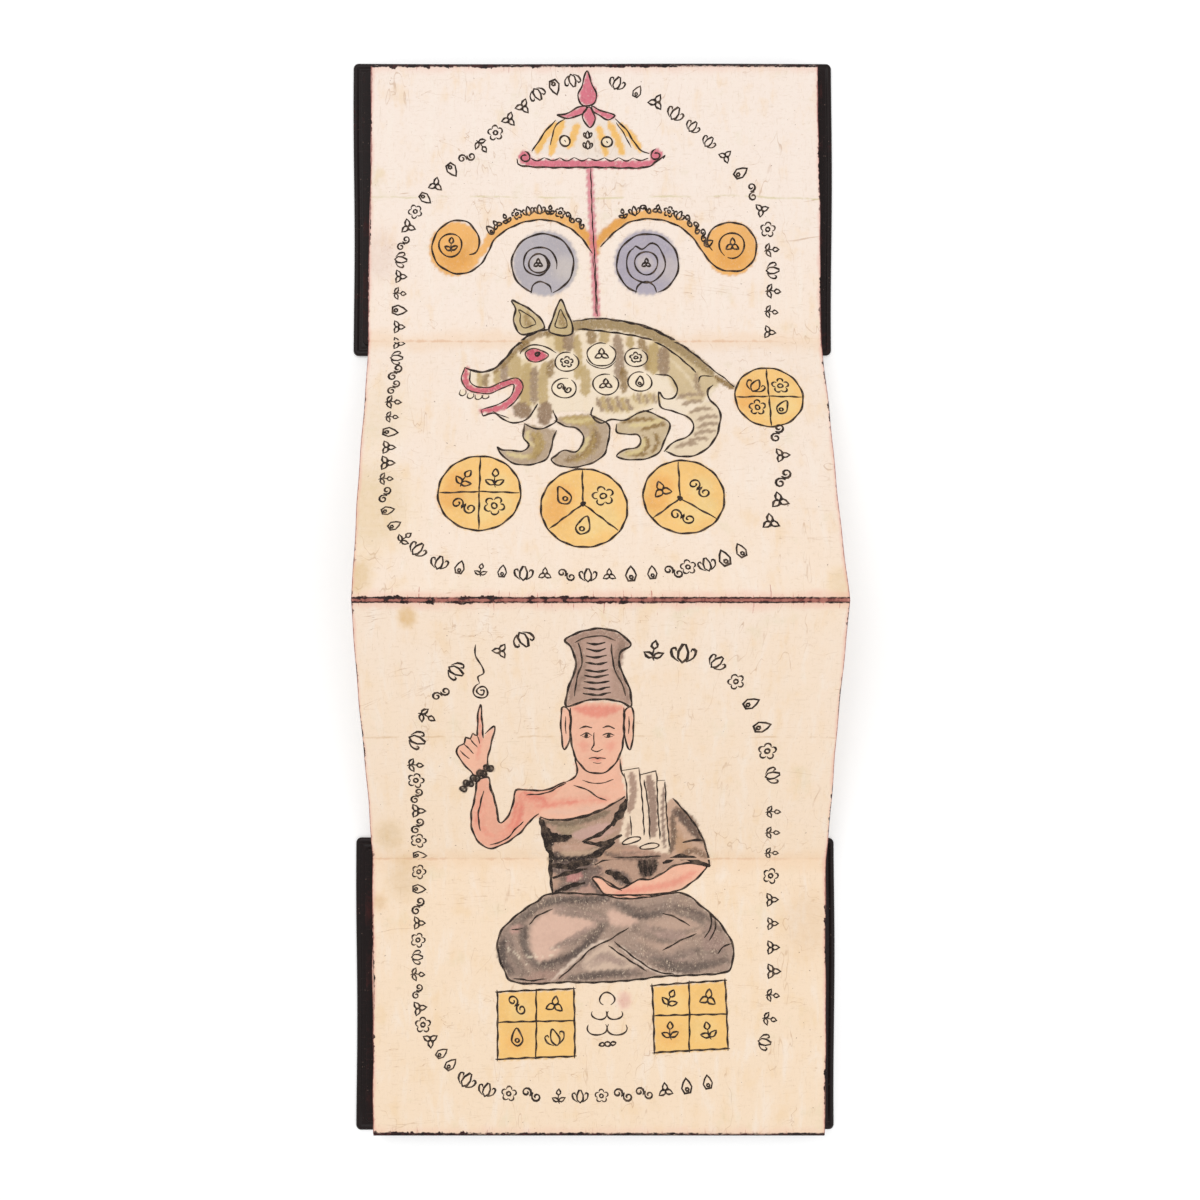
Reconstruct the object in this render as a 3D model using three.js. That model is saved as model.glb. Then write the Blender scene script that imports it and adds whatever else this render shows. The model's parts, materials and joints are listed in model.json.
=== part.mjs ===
// Folding manuscript: a concertina book of thick hand-made paper between two lacquered covers,
// laid open with its two middle leaves standing as a low tent.
// Millimetres, +Z up, X along the folds, the near stack at -Y and the far stack at +Y.
// Leaves are numbered from the cover up. The origin is under the middle of the footprint.

import * as THREE from 'three';

// Leaves
const leafWidth = 200;
const leafDepth = 122; // from fold line to fold line
const leavesPerStack = 8;
const sheet = 0.7; // several layers of paper pasted together
const sheetGap = 0.3; // air between leaves that lie on each other
const foldRound = 0.55; // outer rounding of a fold
const trimStagger = 0.35; // how far the hand-cut side edges stray in the stack

// The tent of the two middle leaves
const tentAngle = THREE.MathUtils.degToRad(21);

// Covers
const coverWidth = 216;
const coverDepth = 132;
const boardThickness = 2.2;
const boardRound = 0.9;
const coverCorner = 2.4;
const liningThickness = 1;
const liningRound = 0.35;
const liningInset = 4.5; // the board's lacquered lip outside its lining
const pasteGap = 0.3;

// How the pieces of the hand-made book lie out of line, measured from the ridge
const nearStack = { name: 'near', side: -1, leafShift: -0.4, coverShift: -2.1, coverPastCrease: 7.2 };
const farStack = { name: 'far', side: 1, leafShift: -2.4, coverShift: -3.3, coverPastCrease: 4.2 };
const nearTentShift = -0.1;
const farTentShift = -1.2;

// Levels and fold lines that follow from the sizes above
const pitch = sheet + sheetGap;
const hingeOffset = sheetGap / 2; // a fold line runs midway between the two leaves that it joins
const liningLevel = boardThickness + pasteGap;
const firstLeafLevel = liningLevel + liningThickness + pasteGap;
const creaseLevel = firstLeafLevel + leavesPerStack * pitch - hingeOffset;
const creaseReach = leafDepth * Math.cos(tentAngle) + pitch * Math.sin(tentAngle);
const leafLength = leafDepth - 2 * hingeOffset;
const foldCorner = Math.min(foldRound, sheet * 0.9);

const arcSteps = 4;
const sectionToWorld = new THREE.Matrix4().makeBasis(
  new THREE.Vector3(0, 1, 0),
  new THREE.Vector3(0, 0, 1),
  new THREE.Vector3(1, 0, 0),
);

function paper(shade) {
  return new THREE.MeshStandardMaterial({ color: shade, roughness: 0.88, metalness: 0 });
}

function lacquer(shade, roughness) {
  return new THREE.MeshStandardMaterial({ color: shade, roughness, metalness: 0 });
}

function piece(name, geometry, material) {
  const mesh = new THREE.Mesh(geometry, material);
  mesh.name = name;
  return mesh;
}

// A leaf's section, its crease end at zero. Where the paper turns over into the leaf above,
// the corner below is rounded, and where it turns under, the corner above is.
function leafSection(atCrease, atFarEnd) {
  const radius = (end, turn) => (end === turn ? foldCorner : 0);
  const creaseUnder = radius(atCrease, 'over');
  const farUnder = radius(atFarEnd, 'over');
  const farOver = radius(atFarEnd, 'under');
  const creaseOver = radius(atCrease, 'under');
  const section = new THREE.Shape();
  section.moveTo(creaseUnder, 0);
  section.lineTo(leafLength - farUnder, 0);
  if (farUnder) {
    section.absarc(leafLength - farUnder, farUnder, farUnder, -Math.PI / 2, 0, false);
  }
  section.lineTo(leafLength, sheet - farOver);
  if (farOver) {
    section.absarc(leafLength - farOver, sheet - farOver, farOver, 0, Math.PI / 2, false);
  }
  section.lineTo(creaseOver, sheet);
  if (creaseOver) {
    section.absarc(creaseOver, sheet - creaseOver, creaseOver, Math.PI / 2, Math.PI, false);
  }
  section.lineTo(0, creaseUnder);
  if (creaseUnder) {
    section.absarc(creaseUnder, creaseUnder, creaseUnder, Math.PI, Math.PI * 1.5, false);
  }
  return section;
}

// The section drawn out along the fold. Side -1 turns the leaf's far end towards -Y.
function leafGeometry(atCrease, atFarEnd, side) {
  const outline = leafSection(atCrease, atFarEnd).getPoints(arcSteps);
  const turned = outline.map((p) => new THREE.Vector2(side * (p.x + hingeOffset), p.y));
  const geometry = new THREE.ExtrudeGeometry(new THREE.Shape(turned), {
    depth: leafWidth,
    bevelEnabled: false,
    steps: 1,
  });
  geometry.applyMatrix4(sectionToWorld);
  geometry.translate(-leafWidth / 2, 0, 0);
  return geometry;
}

function slab(width, depth, thickness, corner, rounding) {
  const x = width / 2;
  const y = depth / 2;
  const outline = new THREE.Shape();
  outline.moveTo(-x + corner, -y);
  outline.lineTo(x - corner, -y);
  outline.absarc(x - corner, -y + corner, corner, -Math.PI / 2, 0, false);
  outline.lineTo(x, y - corner);
  outline.absarc(x - corner, y - corner, corner, 0, Math.PI / 2, false);
  outline.lineTo(-x + corner, y);
  outline.absarc(-x + corner, y - corner, corner, Math.PI / 2, Math.PI, false);
  outline.lineTo(-x, -y + corner);
  outline.absarc(-x + corner, -y + corner, corner, Math.PI, Math.PI * 1.5, false);
  const geometry = new THREE.ExtrudeGeometry(outline, {
    depth: thickness - 2 * rounding,
    bevelEnabled: true,
    bevelThickness: rounding,
    bevelSize: rounding,
    bevelOffset: -rounding,
    bevelSegments: 4,
    curveSegments: 8,
  });
  geometry.translate(0, 0, rounding);
  return geometry;
}

// A cover is a lacquered board with a thinner lining inside its lip.
function cover({ name, side, coverShift, coverPastCrease }) {
  const group = new THREE.Group();
  const board = piece(
    `${name}_cover_board`,
    slab(coverWidth, coverDepth, boardThickness, coverCorner, boardRound),
    lacquer(0x1c191b, 0.42),
  );
  const lining = piece(
    `${name}_cover_lining`,
    slab(
      coverWidth - 2 * liningInset,
      coverDepth - 2 * liningInset,
      liningThickness,
      coverCorner,
      liningRound,
    ),
    lacquer(0x2b1a1b, 0.55),
  );
  lining.position.z = liningLevel;
  group.add(board, lining);
  group.position.set(coverShift, side * (creaseReach - coverPastCrease + coverDepth / 2), 0);
  return group;
}

// The folded leaves of one stack. The top leaf turns over into the tent at its crease end,
// and below it the folds change ends from leaf to leaf. The first leaf is pasted down.
function foldedLeaves({ name, side, leafShift }) {
  const group = new THREE.Group();
  for (let number = 1; number <= leavesPerStack; number += 1) {
    const foldsOverAtCrease = (leavesPerStack - number) % 2 === 0;
    const foldsUnder = number > 1 ? 'under' : 'free';
    const geometry = foldsOverAtCrease
      ? leafGeometry('over', foldsUnder, side)
      : leafGeometry(foldsUnder, 'over', side);
    const leaf = piece(`${name}_leaf_${number}`, geometry, paper(0xefe2cc));
    leaf.position.set(
      leafShift + trimStagger * Math.sin(number * 2.4),
      side * creaseReach,
      firstLeafLevel + (number - 1) * pitch,
    );
    group.add(leaf);
  }
  return group;
}

// A tent leaf hangs from the ridge and hinges at the crease line, half a gap above its face.
function tentLeaf({ name, side }, shift) {
  const hinge = new THREE.Group();
  const leaf = piece(`${name}_tent_leaf`, leafGeometry('over', 'under', -side), paper(0xf3e6d4));
  leaf.position.z = -hingeOffset - sheet;
  hinge.add(leaf);
  hinge.position.set(shift, side * creaseReach, creaseLevel);
  hinge.rotation.x = -side * tentAngle;
  return hinge;
}

const manuscript = new THREE.Group();
manuscript.name = 'folding_manuscript';
manuscript.add(
  cover(nearStack),
  foldedLeaves(nearStack),
  tentLeaf(nearStack, nearTentShift),
  tentLeaf(farStack, farTentShift),
  foldedLeaves(farStack),
  cover(farStack),
);

const footprint = new THREE.Box3().setFromObject(manuscript).getCenter(new THREE.Vector3());
manuscript.position.set(-footprint.x, -footprint.y, 0);

export default manuscript;
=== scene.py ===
"""Looks of the folding manuscript: hand-made paper, painted pages and lacquered covers.

Lengths are in metres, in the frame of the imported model. What is drawn on the strip of paper is given
in millimetres, across from its middle and along it from the ridge, positive towards the far stack.
"""

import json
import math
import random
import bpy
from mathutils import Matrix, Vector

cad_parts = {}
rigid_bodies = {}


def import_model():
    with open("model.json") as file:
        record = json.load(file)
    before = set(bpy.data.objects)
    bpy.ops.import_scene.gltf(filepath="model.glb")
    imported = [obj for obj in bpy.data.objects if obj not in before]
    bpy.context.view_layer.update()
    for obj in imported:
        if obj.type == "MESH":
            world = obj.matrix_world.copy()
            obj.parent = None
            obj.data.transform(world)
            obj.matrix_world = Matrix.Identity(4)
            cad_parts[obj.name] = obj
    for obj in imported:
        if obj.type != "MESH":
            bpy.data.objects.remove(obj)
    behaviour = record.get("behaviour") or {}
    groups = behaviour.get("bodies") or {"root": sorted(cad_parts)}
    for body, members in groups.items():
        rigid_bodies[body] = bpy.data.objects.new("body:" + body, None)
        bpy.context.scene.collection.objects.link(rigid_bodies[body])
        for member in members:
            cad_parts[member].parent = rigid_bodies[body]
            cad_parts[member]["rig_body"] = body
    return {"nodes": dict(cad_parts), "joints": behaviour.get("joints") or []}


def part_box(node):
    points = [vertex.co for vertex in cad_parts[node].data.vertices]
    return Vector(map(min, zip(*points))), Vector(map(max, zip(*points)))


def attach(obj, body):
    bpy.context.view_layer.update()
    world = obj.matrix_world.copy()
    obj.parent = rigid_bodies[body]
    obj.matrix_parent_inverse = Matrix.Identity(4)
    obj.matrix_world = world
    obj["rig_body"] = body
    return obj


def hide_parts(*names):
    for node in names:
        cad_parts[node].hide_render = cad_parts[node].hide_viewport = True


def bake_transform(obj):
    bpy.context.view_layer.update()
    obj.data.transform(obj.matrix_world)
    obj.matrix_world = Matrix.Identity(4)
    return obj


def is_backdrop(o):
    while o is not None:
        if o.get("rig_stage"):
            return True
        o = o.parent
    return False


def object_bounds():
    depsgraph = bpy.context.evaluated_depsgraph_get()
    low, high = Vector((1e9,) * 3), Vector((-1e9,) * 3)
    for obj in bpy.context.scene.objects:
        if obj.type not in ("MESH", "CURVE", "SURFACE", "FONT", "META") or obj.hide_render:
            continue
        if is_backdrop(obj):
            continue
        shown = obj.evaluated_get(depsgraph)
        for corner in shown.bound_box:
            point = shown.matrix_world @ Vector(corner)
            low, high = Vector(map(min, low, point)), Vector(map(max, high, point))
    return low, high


bl_info = {
    "name": "Folding manuscript",
    "version": (1, 0, 0),
    "blender": (4, 5, 0),
    "location": "View3D > Sidebar > Manuscript",
    "description": "Dresses the packed folding manuscript in paper, ink and lacquer",
    "category": "Object",
}

import bmesh
import bpy
import numpy as np
from bpy.props import FloatProperty, FloatVectorProperty, IntProperty, PointerProperty

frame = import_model()
cad_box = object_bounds()

MM = 0.001
SIDES = {"near": -1, "far": 1}
STACK_LEAVES = 8
AXES = {joint["name"]: np.array(joint["pos_m"], float) for joint in frame["joints"]}

PAGE_LOW, PAGE_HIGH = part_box("near_leaf_8")
SHEET = PAGE_HIGH.z - PAGE_LOW.z
HINGE_GAP = AXES["near_crease"][2] - PAGE_HIGH.z
LEAF_DEPTH = abs(AXES["far_fold_7"][1] - AXES["far_crease"][1])
HALF_WIDTH = (PAGE_HIGH.x - PAGE_LOW.x) / 2
TENT_ANGLE = math.atan2(
    AXES["ridge_fold"][2] - AXES["far_crease"][2],
    abs(AXES["far_crease"][1] - AXES["ridge_fold"][1]),
) + math.atan2(SHEET + 2 * HINGE_GAP, LEAF_DEPTH)

RIDGE_MIDDLE = 2.7 * MM  # the middle of the strip at the ridge, across the book
END_TAPER = {"near": 0.3 * MM, "far": 1.6 * MM}  # each side edge runs in by this much at the outer end
TRIM_STRAY = 0.2 * MM  # how far the hand-cut side edges wander
TENT_LIFT = 0.1 * MM  # how uneven the leaves of the tent are
PAGE_LIFT = 0.14 * MM  # how uneven the leaves of the stacks are
FLAT_UNTIL, UNEVEN_FROM = 2 * MM, 14 * MM  # distances from a fold
FOLD_LEAD = 1.0 * MM  # a leaf stops this far from its fold, where the fold's own piece takes over
FOLD_PRESS = 0.6  # closed folds are pressed to this share of a half circle
RIDGE_BLEND = (0.3 * MM, 0.3 * MM)  # the bend's start and end, from the fold's axis
CREASE_BLEND = (0.35 * MM, 0.05 * MM)
INK_STOP = 0.4 * MM  # ink stops this far from a fold
FINE_GRID = 0.8 * MM  # painted leaves, the ridge and the creases
COARSE_GRID = 4.0 * MM  # leaves inside the stacks
FOLD_GRID = 2.5 * MM  # folds inside the stacks
PAPER_CREASE = math.radians(40)  # edges sharper than this stay sharp
LACQUER_CREASE = math.radians(38)


# The strip of paper


def fold_name(stack, number):
    """The fold at the ridge end of a leaf, counted outwards from the ridge."""
    if number == 0:
        return "ridge_fold"
    return f"{stack}_crease" if number == 1 else f"{stack}_fold_{STACK_LEAVES + 1 - number}"


def ripple(x, along):
    """A slow unevenness between -1 and 1."""
    return (
        np.sin(41 * x + 23 * along + 1.3) * np.sin(29 * along - 17 * x)
        + 0.6 * np.sin(83 * x - 61 * along + 0.4)
    ) / 1.6


def soft_step(value, low, high):
    """0 below low, 1 above high and smooth between."""
    share = np.clip((value - low) / (high - low), 0, 1)
    return share * share * (3 - 2 * share)


class Leaf:
    """One leaf, counted outwards from the ridge.

    Number 0 stands in the tent, and 1 is the page on top of its stack.
    """

    def __init__(self, stack, number):
        self.stack, self.number, self.side = stack, number, SIDES[stack]
        self.node = f"{stack}_leaf_{STACK_LEAVES + 1 - number}" if number else f"{stack}_tent_leaf"
        self.body = frame["nodes"][self.node]["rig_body"]
        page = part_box(f"{stack}_leaf_8" if number == 0 else self.node)
        middle = (page[0].x + page[1].x) / 2
        self.middles = (RIDGE_MIDDLE if number == 0 else middle, middle)
        axis = AXES[fold_name(stack, number)]
        if number == 0:
            self.along = np.array([0, self.side * math.cos(TENT_ANGLE), -math.sin(TENT_ANGLE)])
            self.face = np.array([0, self.side * math.sin(TENT_ANGLE), math.cos(TENT_ANGLE)])
        else:
            outwards = 1 if number % 2 else -1
            self.along = np.array([0, self.side * outwards, 0.0])
            self.face = np.array([0, 0, float(outwards)])
        self.start = axis + self.face * (SHEET + HINGE_GAP if number % 2 == 0 else -HINGE_GAP)

    def across(self, u, t):
        """Where a point of the strip lies across the book. Both side edges are cut by hand."""
        outward = t if self.number % 2 else LEAF_DEPTH - t
        taper = END_TAPER[self.stack] * outward / LEAF_DEPTH * (self.number > 0)
        strip = self.side * (self.number * LEAF_DEPTH + t)
        edge = np.sign(u)
        trim = TRIM_STRAY * (np.sin(67 * strip + 2.1 * edge) + 0.5 * np.sin(211 * strip + edge))
        middle = self.middles[0] + (self.middles[1] - self.middles[0]) * t / LEAF_DEPTH
        return middle + u / HALF_WIDTH * (HALF_WIDTH - taper + trim)

    def place(self, u, t, height):
        """The point at u across and t along the leaf, at a height over its painted face."""
        u, t, height = np.broadcast_arrays(*(np.asarray(value, float) for value in (u, t, height)))
        calm = soft_step(t, FLAT_UNTIL, UNEVEN_FROM) * soft_step(LEAF_DEPTH - t, FLAT_UNTIL, UNEVEN_FROM)
        outward = t if self.number % 2 else LEAF_DEPTH - t
        if self.number == 0:
            lift = TENT_LIFT * calm * ripple(u, self.side * t)
        else:
            lift = PAGE_LIFT * calm * ripple(u, outward + self.side) * self.face[2]
        points = self.start + t[..., None] * self.along + (height + lift)[..., None] * self.face
        points[..., 0] = self.across(u, t)
        return points


LEAVES = {
    (stack, number): Leaf(stack, number) for stack in SIDES for number in range(STACK_LEAVES + 1)
}


def sheet_mesh(name, front, back, u, strip, materials):
    """A thin closed sheet between two grids of points, with its place on the strip as its UV map."""
    rows, columns = front.shape[:2]
    points = np.concatenate([front.reshape(-1, 3), back.reshape(-1, 3)])
    shift = rows * columns
    index = np.arange(shift).reshape(rows, columns)
    under = index + shift

    def quads(a, b, c, d):
        return np.stack([a, b, c, d], axis=-1).reshape(-1, 4)

    a, b, c, d = index[:-1, :-1], index[:-1, 1:], index[1:, 1:], index[1:, :-1]
    walls = [
        quads(index[0, 1:], index[0, :-1], under[0, :-1], under[0, 1:]),
        quads(index[-1, :-1], index[-1, 1:], under[-1, 1:], under[-1, :-1]),
        quads(index[:-1, 0], index[1:, 0], under[1:, 0], under[:-1, 0]),
        quads(index[1:, -1], index[:-1, -1], under[:-1, -1], under[1:, -1]),
    ]
    faces = [quads(a, b, c, d), quads(d, c, b, a) + shift, *walls]
    slots = np.concatenate([np.full(len(part), min(i, 2)) for i, part in enumerate(faces)])
    faces = np.concatenate(faces)
    turn = np.cross(front[0, 1] - front[0, 0], front[1, 0] - front[0, 0])
    if turn @ (front[0, 0] - back[0, 0]) < 0:
        faces = faces[:, ::-1]
    mesh = bpy.data.meshes.new(name)
    mesh.from_pydata(points.tolist(), [], faces.tolist())
    layer = mesh.uv_layers.new(name="sheet")
    corners = np.zeros(len(mesh.loops), np.int32)
    mesh.loops.foreach_get("vertex_index", corners)
    places = np.stack([np.tile(u.ravel(), 2), np.tile(strip.ravel(), 2)], axis=1)
    layer.data.foreach_set("uv", places[corners].astype(np.float32).ravel())
    mesh.polygons.foreach_set("material_index", slots.astype(np.int32))
    mesh.polygons.foreach_set("use_smooth", np.ones(len(faces), bool))
    mesh.set_sharp_from_angle(angle=PAPER_CREASE)
    for material in materials:
        mesh.materials.append(material)
    return add_object(name, mesh)


def mesh_from(bm, name):
    """A mesh from a bmesh, which is freed."""
    mesh = bpy.data.meshes.new(name)
    bm.to_mesh(mesh)
    bm.free()
    return mesh


def add_object(name, mesh):
    """A new object at the origin that shows the mesh."""
    piece = bpy.data.objects.new(name, mesh)
    bpy.context.scene.collection.objects.link(piece)
    return piece


def spaced(low, high, step):
    """Even steps from low to high, no longer than step."""
    return np.linspace(low, high, max(2, int(math.ceil((high - low) / step)) + 1))


def add_wash(piece, u, strip):
    """Stores the painted colour on the front face of a sheet, with how much it covers; the back face
    stays bare.
    """
    colour = PAGES.wash_at(u.ravel() / MM, strip.ravel() / MM)
    bare = np.zeros_like(colour)
    layer = piece.data.attributes.new("wash", "FLOAT_COLOR", "POINT")
    layer.data.foreach_set("color", np.concatenate([colour, bare]).astype(np.float32).ravel())


def make_leaf(leaf):
    """The paper of one leaf, between its two folds."""
    painted = leaf.number < 2
    step = FINE_GRID if painted else COARSE_GRID
    last = LEAF_DEPTH - (HINGE_GAP if leaf.number == STACK_LEAVES else FOLD_LEAD)
    u, t = np.meshgrid(spaced(-HALF_WIDTH, HALF_WIDTH, step), spaced(FOLD_LEAD, last, step))
    strip = leaf.side * (leaf.number * LEAF_DEPTH + t)
    piece = sheet_mesh(
        f"{leaf.node}_paper",
        leaf.place(u, t, 0),
        leaf.place(u, t, -SHEET),
        u,
        strip,
        paper_materials(),
    )
    add_wash(piece, u, strip)
    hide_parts(leaf.node)
    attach(piece, leaf.body)


class Fold:
    """The paper that runs round a fold's axis, from one leaf to the next."""

    def __init__(self, stack, number):
        self.name = fold_name(stack, number)
        self.number, self.side = number, SIDES[stack]
        self.axis = AXES[self.name]
        outer = LEAVES[stack, number]
        inner = LEAVES["near", 0] if number == 0 else LEAVES[stack, number - 1]
        self.leaves = (inner, outer)
        # Each leaf's direction away from the fold, and from its nearer face towards the axis
        inner_away = inner.along if number == 0 else -inner.along
        sign = 1 if number % 2 else -1
        self.away = (inner_away, outer.along)
        self.towards = (sign * inner.face, sign * outer.face)
        opening = math.acos(np.clip(self.away[0] @ self.away[1], -1, 1))
        self.bend = math.pi - opening

    def edge(self, leaf, away):
        """The t of a leaf at a distance from this fold."""
        starts_here = leaf is self.leaves[1] or self.number == 0
        return away if starts_here else LEAF_DEPTH - away

    def rows(self):
        """Where the section is sampled: leaf and distance from the fold, or share of the bend."""
        if self.number > 1:
            lead = [FOLD_LEAD, 0.4 * MM, 0]
            half = [0.12, 0.25, 0.36, 0.44, 0.46, 0.48]
            bend = [*half, 0.5, *[1 - share for share in reversed(half)]]
        else:
            lead = [FOLD_LEAD, 0.6 * MM, 0.4 * MM, 0.3 * MM, 0.2 * MM, 0.1 * MM, 0]
            bend = [0.25, 0.5, 0.75]
        yield from ((0, distance, 0) for distance in lead)
        yield from ((None, 0, share) for share in bend)
        yield from ((1, distance, 1) for distance in reversed(lead))

    def section(self, radius):
        """The points of the section at a radius from the axis, the strip's way."""
        points = []
        for end, distance, share in self.rows():
            if end is None:
                angle = share * self.bend
                pressed = FOLD_PRESS if self.number > 1 else 1
                turned = math.cos(angle) * self.towards[0] + pressed * math.sin(angle) * self.away[0]
                points.append(self.axis - radius * turned)
            else:
                points.append(self.axis + self.away[end] * distance - self.towards[end] * radius)
        return np.array(points)

    def make(self):
        """The fold as one piece, bent round its axis between its two leaves."""
        columns = spaced(-HALF_WIDTH, HALF_WIDTH, FINE_GRID if self.number < 2 else FOLD_GRID)
        outer_face = self.section(HINGE_GAP + SHEET)
        inner_face = self.section(HINGE_GAP)
        front, back = (inner_face, outer_face) if self.number % 2 else (outer_face, inner_face)
        across = []
        for end, distance, share in self.rows():
            ends = [leaf.across(columns, self.edge(leaf, distance)) for leaf in self.leaves]
            across.append(ends[0] * (1 - share) + ends[1] * share)
        across = np.array(across)
        steps = np.linalg.norm(np.diff(outer_face, axis=0), axis=1)
        path = np.concatenate([[0], np.cumsum(steps)])
        along = (path / path[-1] * 2 - 1) * FOLD_LEAD
        if self.number:
            along = self.side * along
        strip = self.side * self.number * LEAF_DEPTH + along
        grids = []
        for face in (front, back):
            grid = np.repeat(face[:, None, :], len(columns), axis=1)
            grid[..., 0] = across
            grids.append(grid)
        u, strip = np.meshgrid(columns, strip)
        piece = sheet_mesh(f"{self.name}_paper", *grids, u, strip, paper_materials())
        add_wash(piece, u, strip)
        start, end = self.blend_ends()
        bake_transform(piece)
        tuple(start)
        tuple(end)

    def blend_ends(self):
        """The bend lies between these two points."""
        if self.number > 1:
            return [self.axis - towards * HINGE_GAP for towards in self.towards]
        first, second = CREASE_BLEND if self.number else RIDGE_BLEND
        level = np.array([0, 1.0, 0]) * self.side
        return (self.axis - level * first, self.axis + level * second)


# Drawing on the strip, in millimetres


def soft_curve(points, closed=False, step=0.8):
    """A smooth line through the points, sampled evenly enough for a pen."""
    points = np.array(points, float)
    count = len(points)
    if closed:
        knots = [points[i % count] for i in range(-1, count + 2)]
    else:
        knots = [2 * points[0] - points[1], *points, 2 * points[-1] - points[-2]]
    out = []
    for a, b, c, d in zip(knots, knots[1:], knots[2:], knots[3:]):
        pieces = max(2, int(np.linalg.norm(c - b) / step))
        square, cube = 2 * a - 5 * b + 4 * c - d, 3 * b - a - 3 * c + d
        for t in np.arange(pieces) / pieces:
            out.append(0.5 * (2 * b + (c - a) * t + square * t**2 + cube * t**3))
    if not closed:
        out.append(points[-1])
    return np.array(out)


def round_line(radius, start=0, end=360, squash=1.0, steps=None):
    """Part of a circle round the origin, in degrees."""
    count = steps or max(6, int(abs(end - start) / 360 * max(12, radius * 6)))
    angles = np.radians(np.linspace(start, end, count + 1))
    return np.stack([radius * np.cos(angles), radius * squash * np.sin(angles)], axis=1)


def ring(radius, steps, x=0, s=0, squash=1.0):
    """A closed circle round a place, without its first point again at the end."""
    return round_line(radius, squash=squash, steps=steps)[:-1] + (x, s)


def polar(radius, angle):
    """The point at a distance and an angle from the origin."""
    return round_line(radius, angle, angle + 1, steps=1)[0]


def spiral(radius, turns, start=90.0, inner=0.12, steps=14):
    """A curl that winds in towards the origin."""
    share = np.linspace(0, 1, int(steps * turns) + 1)
    angles = np.radians(start) + share * turns * 2 * math.pi
    reach = radius * (1 - share * (1 - inner))
    return np.stack([reach * np.cos(angles), reach * np.sin(angles)], axis=1)


def petal(tip, width):
    """A pointed lobe from the origin to its tip."""
    tip = np.array(tip, float)
    side = np.array([-tip[1], tip[0]]) / np.linalg.norm(tip) * width / 2
    one, other = (
        (tip * 0.3 + side * way * 0.9, tip * 0.6 + side * way * 0.8) for way in (1, -1)
    )
    return [(0, 0), *one, tip, *other[::-1]]


def linear(colour):
    """A colour as written, in the values that light adds up in."""
    return tuple(c / 12.92 if c <= 0.04045 else ((c + 0.055) / 1.055) ** 2.4 for c in colour)


WASH_STRAY = 0.3  # how far the outlines of washes wander
LEAST_COVER = 1e-4  # below this a wash counts as absent


class Pages:
    """All that is painted on the strip: washes of colour and strokes of ink."""

    def __init__(self, seed):
        self.chance = random.Random(seed)
        self.washes = []
        self.strokes = []

    def at(self, x=0.0, s=0.0, size=1.0, turn=0.0):
        return Hand(self, x, s, size, turn)

    def wash_at(self, x, s):
        """The colour and cover of the washes at points of the strip."""
        colour = np.zeros((len(x), 4))
        stray_x, stray_s = np.sin(1.9 * s + 0.8 * x), np.sin(2.1 * x - 0.9 * s)
        x, s = x + WASH_STRAY * stray_x, s + WASH_STRAY * stray_s
        for path, closed, width, tint, strength, soft in self.washes:
            reach = width / 2 + soft + 1.5
            low, high = path.min(0) - reach, path.max(0) + reach
            near = (x > low[0]) & (x < high[0]) & (s > low[1]) & (s < high[1])
            if not near.any():
                continue
            px, ps = x[near], s[near]
            away = np.full(len(px), np.inf)
            inside = np.zeros(len(px), bool)
            ends = np.roll(path, -1, axis=0) if closed else path[1:]
            for i, ((ax, ay), (bx, by)) in enumerate(zip(path, ends)):
                ex, ey = bx - ax, by - ay
                share = np.clip(((px - ax) * ex + (ps - ay) * ey) / max(ex * ex + ey * ey, 1e-9), 0, 1)
                run = (i + share) / len(ends)
                # A brush stroke starts and ends narrower
                half = 0 if closed else width / 2 * np.minimum(1, 0.55 + 5 * run * (1 - run))
                away = np.minimum(away, np.hypot(px - ax - share * ex, ps - ay - share * ey) - half)
                if closed and ay != by:
                    inside ^= ((ay > ps) != (by > ps)) & (px < ex * (ps - ay) / (by - ay) + ax)
            depth = np.where(inside, -away, away)
            cover = strength * soft_step(-depth, -soft, soft)
            old = colour[near]
            alpha = cover + old[:, 3] * (1 - cover)
            mixed = np.array(tint) * cover[:, None] + old[:, :3] * (old[:, 3] * (1 - cover))[:, None]
            seen = np.maximum(alpha, LEAST_COVER)[:, None]
            old[:, :3] = np.where(alpha[:, None] > LEAST_COVER, mixed / seen, tint)
            old[:, 3] = alpha
            colour[near] = old
        return colour


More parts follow.
